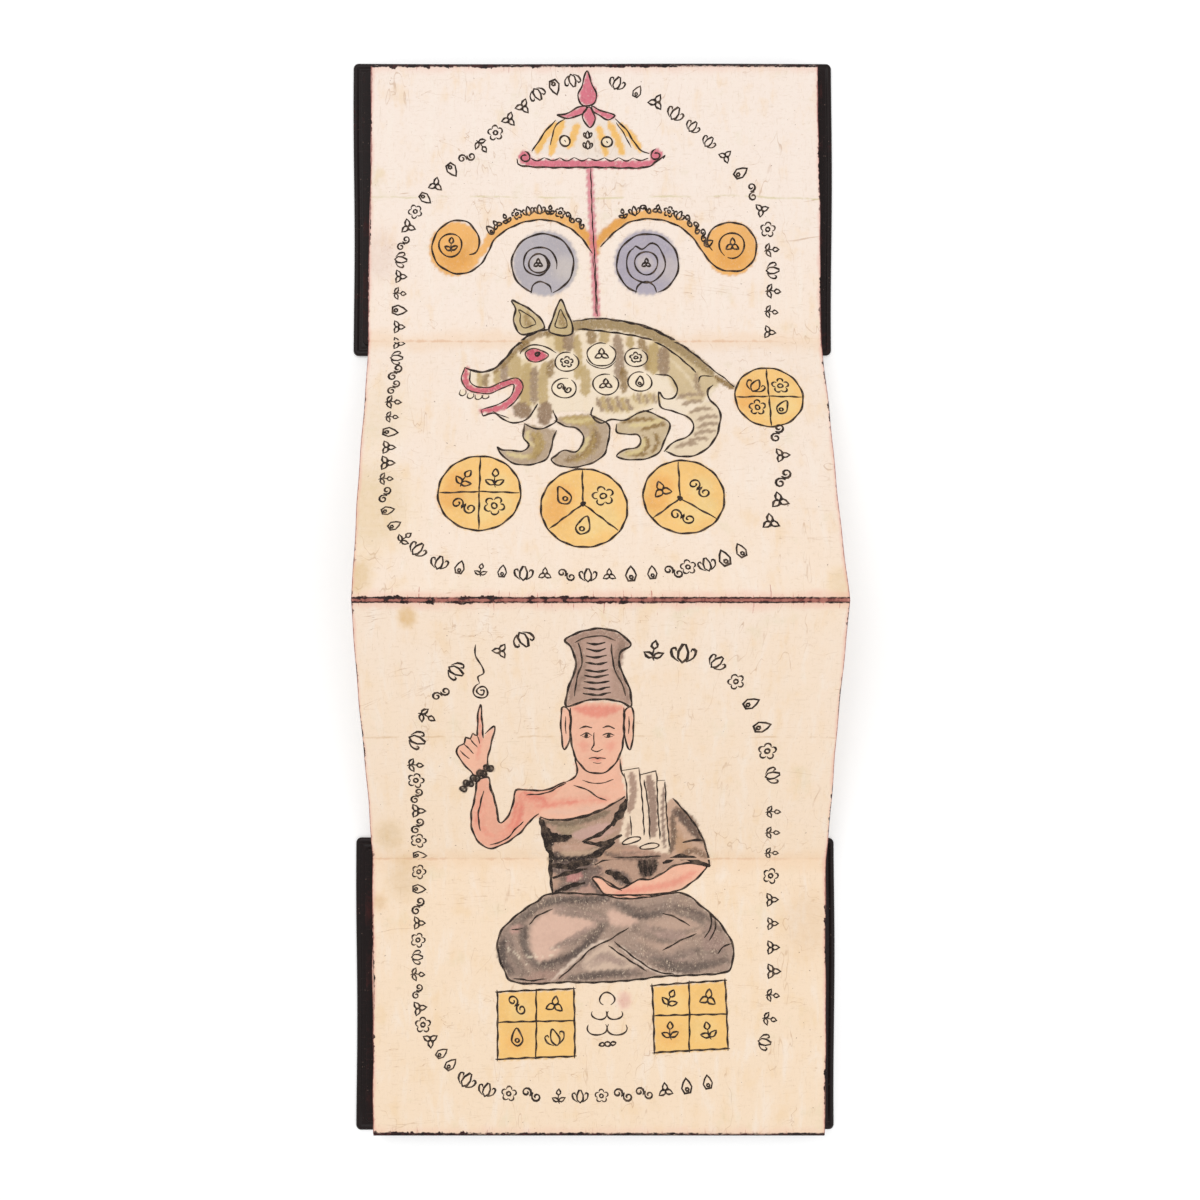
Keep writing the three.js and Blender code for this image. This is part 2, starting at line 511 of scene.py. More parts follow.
class Hand:
    """Paints round a place on the strip, at a size and turned by some degrees."""

    def __init__(self, pages, x, s, size, turn):
        self.pages, self.place, self.size = pages, np.array([x, s]), size
        c, d = math.cos(math.radians(turn)), math.sin(math.radians(turn))
        self.turned = np.array([[c, d], [-d, c]])

    def put(self, points):
        return np.array(points, float) @ self.turned * self.size + self.place

    def fill(self, outline, colour, strength=0.85, soft=0.6, curved=True):
        path = self.put(outline)
        path = soft_curve(path, closed=True, step=2.5) if curved else path
        self.pages.washes.append((path, True, 0, linear(colour), strength, soft))

    def brush(self, path, width, colour, strength=0.8, soft=0.5):
        path = soft_curve(self.put(path), step=2.5)
        self.pages.washes.append((path, False, width * self.size, linear(colour), strength, soft))

    def scumble(self, path, spread, count, width, tones, strength=0.6, soft=0.5):
        """Short strokes side by side along a path, each in one of the tones."""
        chance = self.pages.chance
        path = soft_curve(path, step=3)
        for _ in range(count):
            start = chance.randrange(max(1, len(path) - 4))
            part = path[start : start + chance.randint(3, 6)]
            if len(part) > 1:
                shift = chance.uniform(-spread, spread), chance.uniform(-spread, spread)
                breadth = width * chance.uniform(0.6, 1.3)
                self.brush(part + shift, breadth, chance.choice(tones), strength, soft)

    def line(self, path, width=0.9, closed=False, curved=True):
        path = self.put(path)
        if curved:
            path = soft_curve(path, closed=closed)
        self.pages.strokes.append((path, width, closed))

    def lines(self, width, *paths):
        for path in paths:
            self.line(path, width)

    def shape(self, outline, colour, strength=0.85, width=0.9, soft=0.6):
        self.fill(outline, colour, strength, soft)
        self.line(outline, width, closed=True)


STROKE_ROOT, STROKE_TOP = -0.03, 0.05  # a stroke's foot and top, over the paper's face
FINE_TIP = 2.5  # points over which a thin stroke tapers
BROAD_FROM = 1.3  # strokes from this width taper over much of their length


def ribbon(bm, path, width, closed, chance, wobble=0.12):
    """A raised stroke with a flat top, in millimetres on the flat strip."""
    path = np.array(path, float)
    ahead = np.roll(path, -1, axis=0) - np.roll(path, 1, axis=0)
    if not closed:
        ahead[0], ahead[-1] = path[1] - path[0], path[-1] - path[-2]
    ahead /= np.maximum(np.linalg.norm(ahead, axis=1), 1e-9)[:, None]
    side = np.stack([-ahead[:, 1], ahead[:, 0]], axis=1)
    count = len(path)
    run = np.arange(count) / count
    phase = chance.uniform(0, 6.28)
    turns = max(1, round(count / 9))
    wave = np.sin(run * turns * 2 * math.pi + phase)
    path = path + side * (wobble * wave)[:, None]
    breadth = width * (1 + 0.22 * np.sin(run * (turns + 1) * 2 * math.pi + 2 * phase))
    if not closed:
        reach = FINE_TIP if width < BROAD_FROM else count * 0.4
        from_end = np.minimum(np.arange(count), np.arange(count)[::-1])
        breadth = breadth * (0.4 + 0.6 * np.clip(from_end / reach, 0, 1))
    top = STROKE_TOP + chance.uniform(0, 0.012)
    rings = []
    for point, across, half in zip(path, side, breadth / 2):
        low, high = across * half, across * half * 0.7
        corners = (low, STROKE_ROOT), (high, top), (-high, top), (-low, STROKE_ROOT)
        rings.append([bm.verts.new((*(point + away), level)) for away, level in corners])
    skin(bm, rings, closed)


def skin(bm, rings, closed=False):
    """Faces from each ring of points to the next, and over both ends of an open row."""
    for one, two in zip(rings, rings[1:] + rings[:1] if closed else rings[1:]):
        for i in range(len(one)):
            j = (i + 1) % len(one)
            bm.faces.new((one[i], one[j], two[j], two[i]))
    if not closed:
        bm.faces.new(rings[0][::-1])
        bm.faces.new(rings[-1])


# Colours as written
OCHRE = (0.995, 0.80, 0.485)
SUN = (0.99, 0.85, 0.58)
ROSE = (0.86, 0.40, 0.47)
PETAL = (0.88, 0.49, 0.55)
ORANGE = (0.97, 0.725, 0.415)
SLATE = (0.725, 0.70, 0.725)
BLUE_SLATE = (0.70, 0.67, 0.725)
OLIVE = (0.60, 0.475, 0.285)
MOSS = (0.76, 0.65, 0.43)
DUN = (0.62, 0.51, 0.41)
FAWN = (0.70, 0.60, 0.485)
CREAM = (0.99, 0.92, 0.81)
SKIN = (0.98, 0.75, 0.64)
BLUSH = (0.93, 0.54, 0.47)
UMBER = (0.745, 0.60, 0.515)
BLACK = (0.13, 0.11, 0.12)
CLOTH = (0.99, 0.89, 0.785)
THIGH = (0.93, 0.77, 0.685)
SHADE = (0.42, 0.36, 0.34)
HAT = (0.73, 0.59, 0.52)


# Small ornaments


def volutes(hand):
    curl = spiral(1.8, 1.3, start=-50, inner=0.25, steps=10) + (-1.8, 0.8)
    hand.line(np.vstack([curl[::-1], -curl]))


def trefoil(hand):
    for angle in (90, 210, 330):
        hand.line(petal(polar(2.9, angle), 2.0), closed=True)


def sprout(hand):
    hand.line([(0.3, -2.8), (-0.2, -1.2), (0, 0.8)])
    hand.line(petal((0.2, 2.4), 1.8) + np.array((0, 0.6)), closed=True)
    for side in (-1, 1):
        hand.line(petal((side * 2.5, 1.3), 1.6) + np.array((0, -1.8)), closed=True)


def lily(hand):
    hand.line([(0, -2.5), (-1.4, -0.5), (0, 2.8), (1.4, -0.5)], closed=True)
    for side in (-1, 1):
        hand.line([(side * 0.9, -2.3), (side * 2.7, -1.0), (side * 3.1, 0.9), (side * 2.1, 1.3),
                   (side * 1.9, 0.5)])


def rosette(hand):
    hand.line(ring(0.8, 7), closed=True)
    for angle in range(18, 360, 72):
        heart = polar(1.8, angle)
        hand.line(round_line(1.0, angle - 105, angle + 105, steps=6) + heart)


def drop(hand):
    hand.line([(0.2, 3.0), (1.5, 0.8), (1.7, -1.2), (0, -2.6), (-1.7, -1.2), (-1.3, 0.8)], closed=True)
    hand.line(ring(0.6, 6, 0, -0.9), closed=True)


def beads(hand):
    hand.line(ring(1.1, 8), closed=True)
    for side in (-1, 1):
        hand.line(petal((side * 2.4, 0.5 * side), 1.7) + np.array((side * 1.2, 0)), closed=True)


CURLS = (volutes, trefoil, sprout, lily, rosette, drop)


def put_curl(pages, x, s, size, turn=0.0):
    pages.chance.choice(CURLS)(pages.at(x, s, size, turn))


# The painted figures


def ringed_curl(pages, x, s, radius):
    hand = pages.at(x, s)
    hand.fill(ring(radius, 12), CREAM, 0.8, 0.4)
    hand.line(round_line(radius, 70, 415, squash=0.94, steps=14), 0.75)
    put_curl(pages, x, s, radius / 5.4)


def draw_parasol(pages):
    hand = pages.at()
    dome = [(-28.2, 205.8), (-26.3, 208.5), (-22.6, 214), (-17.5, 219.7), (-8, 222.5), (3, 221.5),
            (9, 220.2), (13.6, 216), (17.3, 210.4), (20.1, 206.7), (24.3, 204.8)]
    hand.fill([*dome, (0, 202.5)], (1.0, 0.95, 0.90), 0.5)
    stripes = (
        [(-26.2, 205.6), (-22.4, 212), (-17.6, 218)],
        [(-19.6, 204.6), (-17.8, 212), (-14, 218.8)],
        [(-11.6, 207.6), (-9.4, 213), (-7.6, 217.6)],
        [(5.0, 204.4), (3.4, 211), (1.6, 216.6)],
        [(12.4, 204.8), (9.8, 212), (6.4, 218.4)],
        [(20.2, 206.2), (16.2, 212.6), (11.4, 217.6)],
    )
    for stripe in stripes:
        hand.brush(stripe, 3.4, (0.985, 0.78, 0.46), 1.0, 0.5)
    hand.line(dome[:4], 0.85)
    hand.line(dome[6:], 0.85)
    hand.line([(-19.8, 208.5), (-18.4, 215), (-16, 218.6), (-12.8, 220.4)], 0.7)
    hand.line([(9.6, 218.6), (13.4, 213), (16.2, 207.4)], 0.6)
    bar = [(-31.6, 201.2), (-26, 200.4), (-4, 200.2), (20, 200), (26.5, 201.4)]
    hand.brush(bar, 3.5, PETAL, 1.0, 0.35)
    for side, x, s in ((-1, -31.4, 203.2), (1, 27.4, 204.2)):
        hand.fill(ring(2.9, 8, x, s), PETAL, 1.0, 0.35)
        hand.line(spiral(2.7, 1.15, start=90, inner=0.3, steps=12) * (side, 1) + (x, s), 0.85)
    hand.line([(-35, 202.6), (-33, 199.6), (-20, 198.7), (0, 198.8), (21, 198.6), (27, 201),
               (31.4, 204.2), (30.4, 202.6)], 0.95)
    for i in range(8):
        x = -29 + 6.6 * i
        hand.line([(x, 203), (x + 3.3, 201.7), (x + 6.6, 203)], 0.75)
    petals = (
        [(-5.9, 226.4), (-7.5, 230.4), (-5.7, 235), (-3.6, 241.5), (-1.7, 236.4), (0.6, 231.3),
         (-0.5, 226.7)],
        [(-3.6, 225.7), (-7.7, 225.1), (-13.3, 222.2), (-17, 221.8), (-12.4, 220.4), (-7.7, 221.4),
         (-4.5, 223.4)],
        [(-1.2, 225.7), (1.6, 224.3), (5.3, 223), (9, 221.6), (6.2, 219.7), (2.5, 221.4), (-0.8, 223.4)],
        [(-2.6, 225.3), (-5.4, 222.5), (-5, 219.7), (-2.2, 216.2), (0.2, 220.2), (-0.8, 223)],
    )
    for lobe in petals:
        hand.fill([(x + 0.5, s) for x, s in lobe], PETAL, 1.0, 0.4)
        hand.line(lobe, 0.8, closed=True)
    hand.fill([(-3.9, 198.4), (-0.9, 198.4), (0.6, 170), (2.4, 132.6), (-0.7, 132.6), (-2.3, 165)],
              PETAL, 0.85, 0.5, curved=False)
    hand.line([(-1.9, 198.8), (-1.1, 176), (0.3, 152.8), (1.1, 133)], 0.6)
    hand.line([(-0.9, 160), (0.2, 146), (0.4, 134)], 0.4)
    for x, s in ((-13.4, 210.4), (5.4, 210)):
        hand.fill(ring(2.2, 10, x, s), CREAM, 0.9, 0.3)
        hand.line(ring(2.3, 10, x, s), 0.95, closed=True)
        hand.line([(x - 0.3, s + 0.3), (x + 0.5, s - 0.4)], 1.0)
    for s, size in ((213, 0.62), (208.6, 0.7)):
        lily(pages.at(-3.2, s, size))


def draw_scroll(pages, outline, arch, core):
    """A band that rises from the staff over an arch and rolls up in a disc.

    The outline's first nine points are the band, and the arch is given by its middle.
    """
    hand = pages.at()
    outline, arch = np.array(outline), np.array(arch)

    def outward(points, by):
        away = points - arch
        return points + away / np.linalg.norm(away, axis=1)[:, None] * by

    middle = (outline[9:].min(0) + outline[9:].max(0)) / 2
    hand.brush(outward(outline[:9], 2.0), 4.2, ORANGE, 0.95, 0.5)
    hand.brush(outward(outline[:3], 2.6), 4.0, (0.90, 0.62, 0.26), 0.6, 0.9)
    hand.fill(ring(11.6, 14, squash=1.04) + middle + (-0.3, -0.8), ORANGE, 0.97, 0.6)
    hand.fill(ring(6.5, 9, squash=0.8) + middle + (0, -5), (0.90, 0.62, 0.27), 0.5, 2.5)
    hand.line(outline, 0.9)
    hand.line(round_line(*core[2:], steps=14) + core[:2], 0.85)
    put_curl(pages, core[0] + 0.3, core[1], 1.1)
    path = soft_curve(outward(outline[2:8], 4.4), step=4.9)
    for here, after in zip(path[:-1], path[1:]):
        ahead = (after - here) * (1 if after[0] > here[0] else -1)
        put_curl(pages, *here, 0.78, math.degrees(math.atan2(ahead[1], ahead[0])))


def draw_target(pages, x, s, tone, notched):
    """A slate disc with rings, open over a small arch at its foot."""
    hand = pages.at(x, s)
    astray = (-0.4, 0.6) if notched else (1.2, 0.2)
    hand.fill(ring(14.4, 16, *astray), tone, 0.95, 0.9)
    hand.fill(ring(5.5, 9, 9.5, -2), CREAM, 0.22, 3)
    hand.fill(ring(3.6, 9, -1.2, 0.3), CREAM, 0.25, 1.2)
    hand.line(round_line(13.7, -71, 250, squash=0.97, steps=36), 0.95)
    hand.line([(-5.2, -13), (-4.4, -9.6), (-1, -7.8), (2.8, -9.4), (3.9, -12.6)], 0.85)
    if notched:
        hand.line([*(round_line(8.6, 128, 392, steps=18) + (-0.8, 0.4)), (4.2, 8.2), (1.2, 9.2),
                   (-2.4, 6.4), (-5.4, 8), (-6.6, 6.4)], 0.85)
        hand.line(ring(5.1, 14, -0.6, 0.4), 0.85, closed=True)
    else:
        hand.line(spiral(8.4, 1.25, start=-20, inner=0.5, steps=22) * (1, 0.95) + (-1.9, 0.4), 0.85)
        hand.line(ring(4.2, 13, -1.9, 0.2), 0.85, closed=True)
    trefoil(pages.at(x - (0.6 if notched else 1.9), s + 0.3, 0.75))


def draw_wheel(pages, x, s, radius, hub, spokes):
    """An ochre disc with spokes at the given angles, and a curl between each two."""
    hand = pages.at(x, s)
    rim = ring(radius, 20)
    hand.fill(rim * 1.02, OCHRE, 0.95, 0.6)
    for angle, reach, tone in ((30, 0.5, SUN), (150, 0.6, ORANGE), (190, 0.7, ORANGE), (280, 0.5, SUN),
                               (330, 0.6, SUN)):
        spot = ring(radius * 0.3, 8) + polar(radius * reach, angle)
        hand.fill(spot, tone, 0.85, 2.4)
    hand.line(rim, 0.95, closed=True)
    hub = np.array(hub)
    for angle, following in zip(spokes, (*spokes[1:], spokes[0] + 360)):
        end = polar(radius * 0.97, angle)
        hand.line([hub, (hub + end) / 2, end], 0.9)
        middle = hub * 0.6 + polar(radius * 0.52, (angle + following) / 2)
        put_curl(pages, x + middle[0], s + middle[1], radius / 11.5, (following * 37) % 60 - 30)
    if len(spokes) == 3:
        hand.line(ring(0.7, 8) + hub, 1.2, closed=True)


STRIPE_BREADTH = 1.6  # the boar's stripes run out beyond the width that the brush had


def draw_boar(pages):
    hand = pages.at()
    back = [(-57.2, 108.7), (-54, 107), (-49.5, 106.3), (-44.7, 107.7), (-40, 112.5), (-35.6, 118.8),
            (-31, 123.2), (-26.3, 126), (-20.7, 127.2), (-9.6, 130.7), (-4, 131.6), (2.5, 132),
            (9, 131.3), (15.5, 130.2), (23, 128.3), (30.4, 125), (37.7, 120.4), (45, 114), (51, 107.7),
            (56.2, 103), (60, 98.6)]
    rump = [(51, 99.7), (48.3, 97), (49.2, 92), (52.7, 87.6), (53, 82.4), (51.2, 75.2), (48, 70),
            (42.4, 65.6), (35.2, 64.6), (29, 67)]
    thigh = [(26, 105), (32, 104.2), (35.2, 98.6), (33.6, 93.3), (29.5, 93), (27.3, 96), (27.6, 89),
             (33, 86.5), (38, 84.5), (41.2, 81), (41.2, 77.7), (38, 73.7), (33.3, 72), (28.2, 67)]
    hand.fill([*back[:-1], (52, 98), (48, 92), (40, 84), (30, 88), (14, 83), (2, 82), (-4, 86),
               (-15, 86), (-30, 83), (-34, 95), (-34, 101), (-40, 100), (-46, 98), (-55, 99)], CREAM,
              0.75)
    for patch in ([(-22, 124), (-12, 124), (-9, 118), (-14, 117), (-20, 118)],
                  [(-33, 112), (-26, 112), (-24, 92), (-33, 90)],
                  [(0, 93), (14, 94), (26, 96), (24, 90), (14, 86), (3, 86)],
                  [(24, 122), (32, 117), (30, 106), (23, 107)]):
        hand.fill(patch, (0.88, 0.79, 0.60), 0.6, 1.2)
    hand.fill([(30, 119), (44, 112), (54, 102), (49, 97), (45, 91), (37, 93), (32, 102)],
              (0.82, 0.72, 0.53), 0.8, 1.2)
    hand.brush([(33, 113), (40, 104), (44, 96)], 1.2, CREAM, 0.5, 0.8)
    # Stripes from the back down: place at the top, place at the foot, width
    stripes = (
        (-50.6, 105.5, -50.3, 99, 1.7), (-47.8, 105.3, -47.5, 98.8, 1.6), (-43, 107, -43, 100, 2),
        (-39.6, 110.5, -39.8, 101.5, 2.1), (-35.4, 115, -35.6, 103, 3.6), (-31, 121, -31.4, 118, 3.2),
        (-30.5, 110, -30.3, 86, 2.9), (-26.8, 108, -26.7, 91, 2.2), (-22.6, 110.5, -22.5, 89, 2.7),
        (-19.4, 112, -19.6, 104, 2.0), (-15.2, 124.5, -15.3, 117.5, 3.4),
        (-11.5, 126, -11.6, 117.5, 3.2), (-7.4, 124, -8, 103, 2.2), (-1.4, 126.5, -1.9, 121.5, 2.7),
        (4.3, 126, 4.4, 122, 2.8), (10.6, 124.5, 9.8, 103, 2.7), (15.6, 123.5, 15.4, 119, 2.3),
        (20.8, 122.5, 22.6, 108, 2.5), (25.8, 120.5, 25.4, 106, 2.9), (30.2, 118, 29.6, 105.5, 3.2),
        (-4.4, 108.5, -4.8, 95, 2.8), (12.4, 108, 12, 96.5, 2.2),
    )
    for i, (x, s, low_x, low_s, width) in enumerate(stripes):
        lean = pages.chance.uniform(-0.9, 0.9)
        middle = ((x + low_x) / 2 + lean * 0.6, (s + low_s) / 2)
        tone = (MOSS, OLIVE, MOSS, DUN)[i % 4]
        hand.brush([(x - lean, s), middle, (low_x, low_s)], width * STRIPE_BREADTH, tone, 0.85, 0.55)
    for i in range(7):
        top, foot = 93.6 + pages.chance.uniform(-1.2, 1.2), 85.8 + pages.chance.uniform(-0.6, 1.4)
        tone, other = (MOSS, DUN) if i % 2 else (DUN, MOSS)
        x = 2.1 * i
        hand.brush([(0.6 + x, top), (1.4 + x, 89.6), (2.9 + x, foot)], 1.8, tone, 0.85, 0.4)
        x = 1.7 * i
        hand.brush([(16.2 + x, top + 2), (17.3 + x, foot + 4)], 1.4, other, 0.8, 0.4)
    hand.brush([(x - 0.2, s - 2.2) for x, s in back[8:19]], 4.8, (0.66, 0.56, 0.395), 0.95, 0.5)
    hand.brush([(x + 0.6, s - 1.4) for x, s in back[3:9]], 2.6, OLIVE, 0.8, 0.45)
    hand.brush([(52, 104), (56.5, 100.6), (59.6, 98)], 2.8, OLIVE, 0.95, 0.4)
    for patch in ([(-25, 88.7), (-21, 91.5), (-18.6, 87), (-20.5, 80), (-24.8, 81)],
                  [(-36, 89.5), (-31, 91), (-27.6, 87), (-30, 83), (-35, 84.4)]):
        hand.fill(patch, DUN, 0.95, 0.6)
    legs = (
        ([(-30.8, 80.3), (-31.2, 74.2), (-28.9, 70), (-31.4, 67), (-36, 67.6), (-40, 67.6),
          (-42.3, 69.2), (-38.6, 63.6), (-32.4, 60.6), (-24.4, 61.6), (-20.4, 65), (-18.7, 72),
          (-17.2, 77.2), (-24, 78.6)], FAWN),
        ([(-18, 82), (-13.6, 79.3), (-9, 78.3), (-5.5, 74.2), (-7, 69), (-9.2, 66.6), (-13.7, 67.6),
          (-17.3, 65), (-19.5, 63), (-15.5, 60), (-8.4, 59.6), (-1.3, 62), (3.2, 66), (5.2, 74.2),
          (5, 80), (-3, 85), (-12, 84)], FAWN),
        ([(8.5, 80.3), (8.8, 76.2), (13.3, 75.2), (17.3, 75.2), (18.6, 72), (17.1, 69), (12.2, 68),
          (8.2, 64.6), (14.8, 63), (22, 64), (26.4, 67), (29.5, 74.2), (31.4, 80.3), (26.2, 84.5),
          (20, 87.2), (13.5, 83.4)], (0.80, 0.71, 0.55)),
    )
    for outline, tone in legs:
        hand.fill(outline, tone, 0.86, 0.6)
        hand.line(outline[:-1], 0.9)
    hand.fill([(-16, 83.5), (-4, 84.5), (0, 81), (-7, 79.4)], MOSS, 0.9, 0.8)
    for streak in ([(11, 81), (18, 82.6), (25, 82.4)], [(19, 77.4), (24, 79), (29.4, 80.6)],
                   [(20, 74.4), (22, 70), (17.4, 66.4)], [(24.6, 76), (26, 71.6), (23.4, 66.8)],
                   [(12, 66.4), (16, 65.4), (21, 66)]):
        hand.brush(streak, 1.8, OLIVE, 0.9, 0.4)
    for light in ([(-29, 77), (-29.6, 73), (-27, 69.6)], [(-38, 66), (-32, 64.6), (-26, 64.4)],
                  [(-3.8, 74), (-5, 69), (-9, 65)], [(14, 79.4), (22, 80.4), (29, 83)],
                  [(20, 73), (18.6, 67.6), (12, 65.8)], [(-14, 81.6), (-6, 81.6), (0, 83.6)]):
        hand.brush(light, 1.9, (0.90, 0.82, 0.60), 0.8, 0.5)
    for path in ([(-26, 76), (-24, 69), (-28, 64)], [(-4, 82), (0, 74), (-4, 66), (-12, 62.6)]):
        hand.scumble(path, 1.6, 12, 1.6, (DUN, OLIVE, MOSS), 0.6)
    hand.fill([*rump[2:], *thigh[:7:-1]], (0.93, 0.85, 0.72), 0.85, 0.5)
    for x, s in ((35, 93), (37, 89.6), (40.5, 86), (43.4, 82.2), (43.4, 78.6), (41.6, 75), (38.6, 71.4),
                 (33.4, 68.8)):
        hand.brush([(x, s), (x + 4, s + 1.8), (x + 8.6, s + 1.8)], 1.9, (0.68, 0.58, 0.48), 0.9, 0.45)
    hand.brush([(44, 105), (44, 99), (46, 94)], 2.4, DUN, 0.7, 0.6)
    hand.line(back[:9], 1.25)
    hand.line(back[9:], 1.3)
    hand.line([(-7.7, 127.4), (-2, 127), (7, 126), (16.4, 124.6), (25.7, 122.2), (33, 117.3),
               (39.2, 111.4), (44, 106)], 0.9)
    hand.line(rump, 1.0)
    hand.line(thigh, 0.9)
    hand.line([(-1.4, 88.6), (-2.2, 84.8), (1.8, 80.6), (6.3, 82.6), (11.8, 82), (17.2, 85.2),
               (24.5, 88)], 0.9)
    hand.line([(-30.8, 80.6), (-26, 77.9), (-21, 78.9), (-17.2, 82), (-18.6, 87)], 0.9)
    hand.line([(44.6, 101), (46, 104), (51, 104.2)], 0.7)
    ears = ([(-36.5, 140), (-35.1, 136.3), (-35.8, 130.7), (-33.8, 126.1), (-30.5, 124.9),
             (-25.2, 126.6), (-22.1, 128.1), (-24.5, 132.5), (-29.1, 136.3)],
            [(-15, 140.5), (-17, 136.3), (-19.1, 130.7), (-20, 126.2), (-15, 124.6), (-10, 125.4),
             (-10.5, 130.7), (-12.8, 135.8)])
    for ear in ears:
        hand.fill(ear, (0.82, 0.73, 0.55), 0.95, 0.5)
        heart = np.mean(ear, axis=0)
        hand.brush([heart + (0.8, 3), heart, heart + (2, -2.6)], 2.6, (0.66, 0.55, 0.37), 0.85, 0.5)
        hand.line(ear, 0.95, closed=True)
        hand.line([heart + (np.array(p) - heart) * 0.52 for p in ear], 0.6, closed=True)
    # Mouth, teeth and eye
    lip = [(-56.2, 108), (-56.7, 101.5), (-54.6, 98.2), (-50.8, 96.8), (-45.4, 97.2), (-40, 100),
           (-34.5, 101.4), (-33.2, 98.6), (-35.6, 93.4), (-39.6, 89), (-44.6, 87.4), (-50, 86.6)]
    hand.brush(lip, 3.0, ROSE, 0.95, 0.45)
    hand.line([(-57.2, 108.7), (-58.4, 103), (-57, 98.8), (-54, 96.6), (-50.8, 95.6), (-45.2, 95.6),
               (-40, 98.4), (-35.8, 99.8), (-36.4, 95), (-41, 90.6), (-45, 89), (-49.6, 87.2)], 0.7)
    hand.line([(-54.6, 107.2), (-54.8, 102), (-52.4, 99.2), (-50, 98.4), (-45, 98.9), (-39.6, 101.8),
               (-34, 103), (-31.6, 99.4), (-33.6, 93.4), (-38.6, 87.6)], 0.7)
    for x, s, reach in ((-57.6, 97.2, 2.9), (-54.2, 95.6, 2.7), (-50.8, 94.8, 2.6), (-47.6, 94.8, 2.0)):
        tip = [(x - 1.5, s - reach * 0.7), (x - 0.2, s - reach), (x + 1.3, s - reach * 0.6)]
        tooth = [(x - 1.2, s), *tip, (x + 1.3, s - 0.2)]
        hand.fill(tooth, CREAM, 1.0, 0.2)
        hand.line(tooth, 0.7)
    hand.line([(-49.4, 87), (-48.6, 84.2), (-46.6, 85), (-43.5, 85.6), (-39.8, 82.4), (-35.2, 80.9),
               (-30.7, 82), (-27, 86.6), (-25.3, 90.3)], 0.9)
    hand.line([(-44.6, 86.6), (-41, 84.6), (-37.4, 83)], 0.6)
    eye = [(-30.8, 116), (-26.3, 118.3), (-20.6, 114.9), (-24.5, 111.5), (-29.1, 112.3)]
    hand.fill([(x * 1.12 + 3.1, s * 1.14 - 16) for x, s in eye], CREAM, 1.0, 0.4)
    hand.fill(eye, ROSE, 1.0, 0.3)
    hand.line(eye, 0.75, closed=True)
    hand.line([(-33, 115.4), (-31.9, 117.4), (-27.3, 120.3), (-20.8, 118.6), (-17, 116)], 0.8)
    hand.fill(ring(1.0, 7, -25.4, 115.4), BLACK, 0.8, 0.5)
    hand.line(ring(0.9, 7, -25.4, 115.4), 1.1, closed=True)
    for x, s, radius in ((-12.5, 111.4, 5.2), (2.8, 115.2, 6.3), (17.9, 113.6, 5), (-13.7, 98.1, 5.3),
                         (4.4, 100, 5.6), (19.2, 101.3, 5.2)):
        ringed_curl(pages, x, s, radius)
    hand.line(round_line(7.1, 200, 330, steps=8) + (2.8, 115.2), 0.6)


def draw_head(pages):
    """Head and neck of the hermit, on plain proportions: the eyes are at half the head's height."""
    hand = pages.at()
    crown, chin, middle, half = -45.0, -79.0, -1.0, 11.2

    def at(across, share):
        return (middle + across * half, crown - share * (crown - chin))

    hand.fill([(-9.5, -72), (-9.8, -80), (-14, -85), (12, -86), (9.4, -78), (8, -70)], SKIN, 0.95)
    jaw = ((-1, 0.45), (-0.86, 0.74), (-0.45, 0.95), (0, 1), (0.45, 0.95), (0.86, 0.74), (1, 0.45))
    jaw = [at(*point) for point in jaw]
    hand.fill([at(-1, 0.05), *jaw, at(1, 0.05)], SKIN, 0.97)
    for side in (-1, 1):
        ear = [at(side, 0.16), at(side * 1.30, 0.08), at(side * 1.36, 0.36), at(side * 1.26, 0.66),
               at(side * 1.04, 0.5)]
        hand.shape(ear, SKIN, 0.9, 0.85)
        hand.line([at(side * 1.19, 0.2), at(side * 1.18, 0.44)], 0.6)
        hand.line([at(side * 0.66, 0.37), at(side * 0.44, 0.335), at(side * 0.2, 0.36)], 1.0)
        hand.line([at(side * 0.64, 0.465), at(side * 0.42, 0.43), at(side * 0.2, 0.465)], 0.85)
        hand.line([at(side * 0.58, 0.475), at(side * 0.42, 0.495), at(side * 0.26, 0.475)], 0.55)
        hand.line(ring(0.4, 6) + at(side * 0.42, 0.464), 1.1, closed=True)
        hand.fill([at(side * 0.72, 0.58), at(side * 0.5, 0.54), at(side * 0.3, 0.6),
                   at(side * 0.5, 0.70)], BLUSH, 0.4, 1.5)
    hand.line([at(-0.12, 0.42), at(-0.14, 0.60), at(-0.22, 0.655), at(0, 0.69), at(0.22, 0.655)], 0.65)
    hand.line([at(-0.32, 0.79), at(-0.1, 0.775), at(0, 0.785), at(0.1, 0.775), at(0.32, 0.79)], 0.85)
    hand.line([at(-0.16, 0.845), at(0, 0.86), at(0.16, 0.845)], 0.55)
    hand.fill([at(-0.28, 0.785), at(0, 0.76), at(0.28, 0.785), at(0, 0.84)], BLUSH, 0.55, 0.6)
    hand.fill([at(-0.92, 0.09), at(0, 0.05), at(0.92, 0.09), at(0, 0.22)], BLUSH, 0.75, 1.2)
    hand.line([at(-1, 0.08), *jaw, at(1, 0.08)], 0.95)
    hand.line([(-10.4, -71), (-9.8, -79.6), (-14.4, -83.2)], 0.9)
    hand.line([(8.8, -72), (9.2, -78), (11, -81)], 0.9)
    hand.line([(-7.4, -82.4), (-0.8, -84), (6, -82)], 0.6)


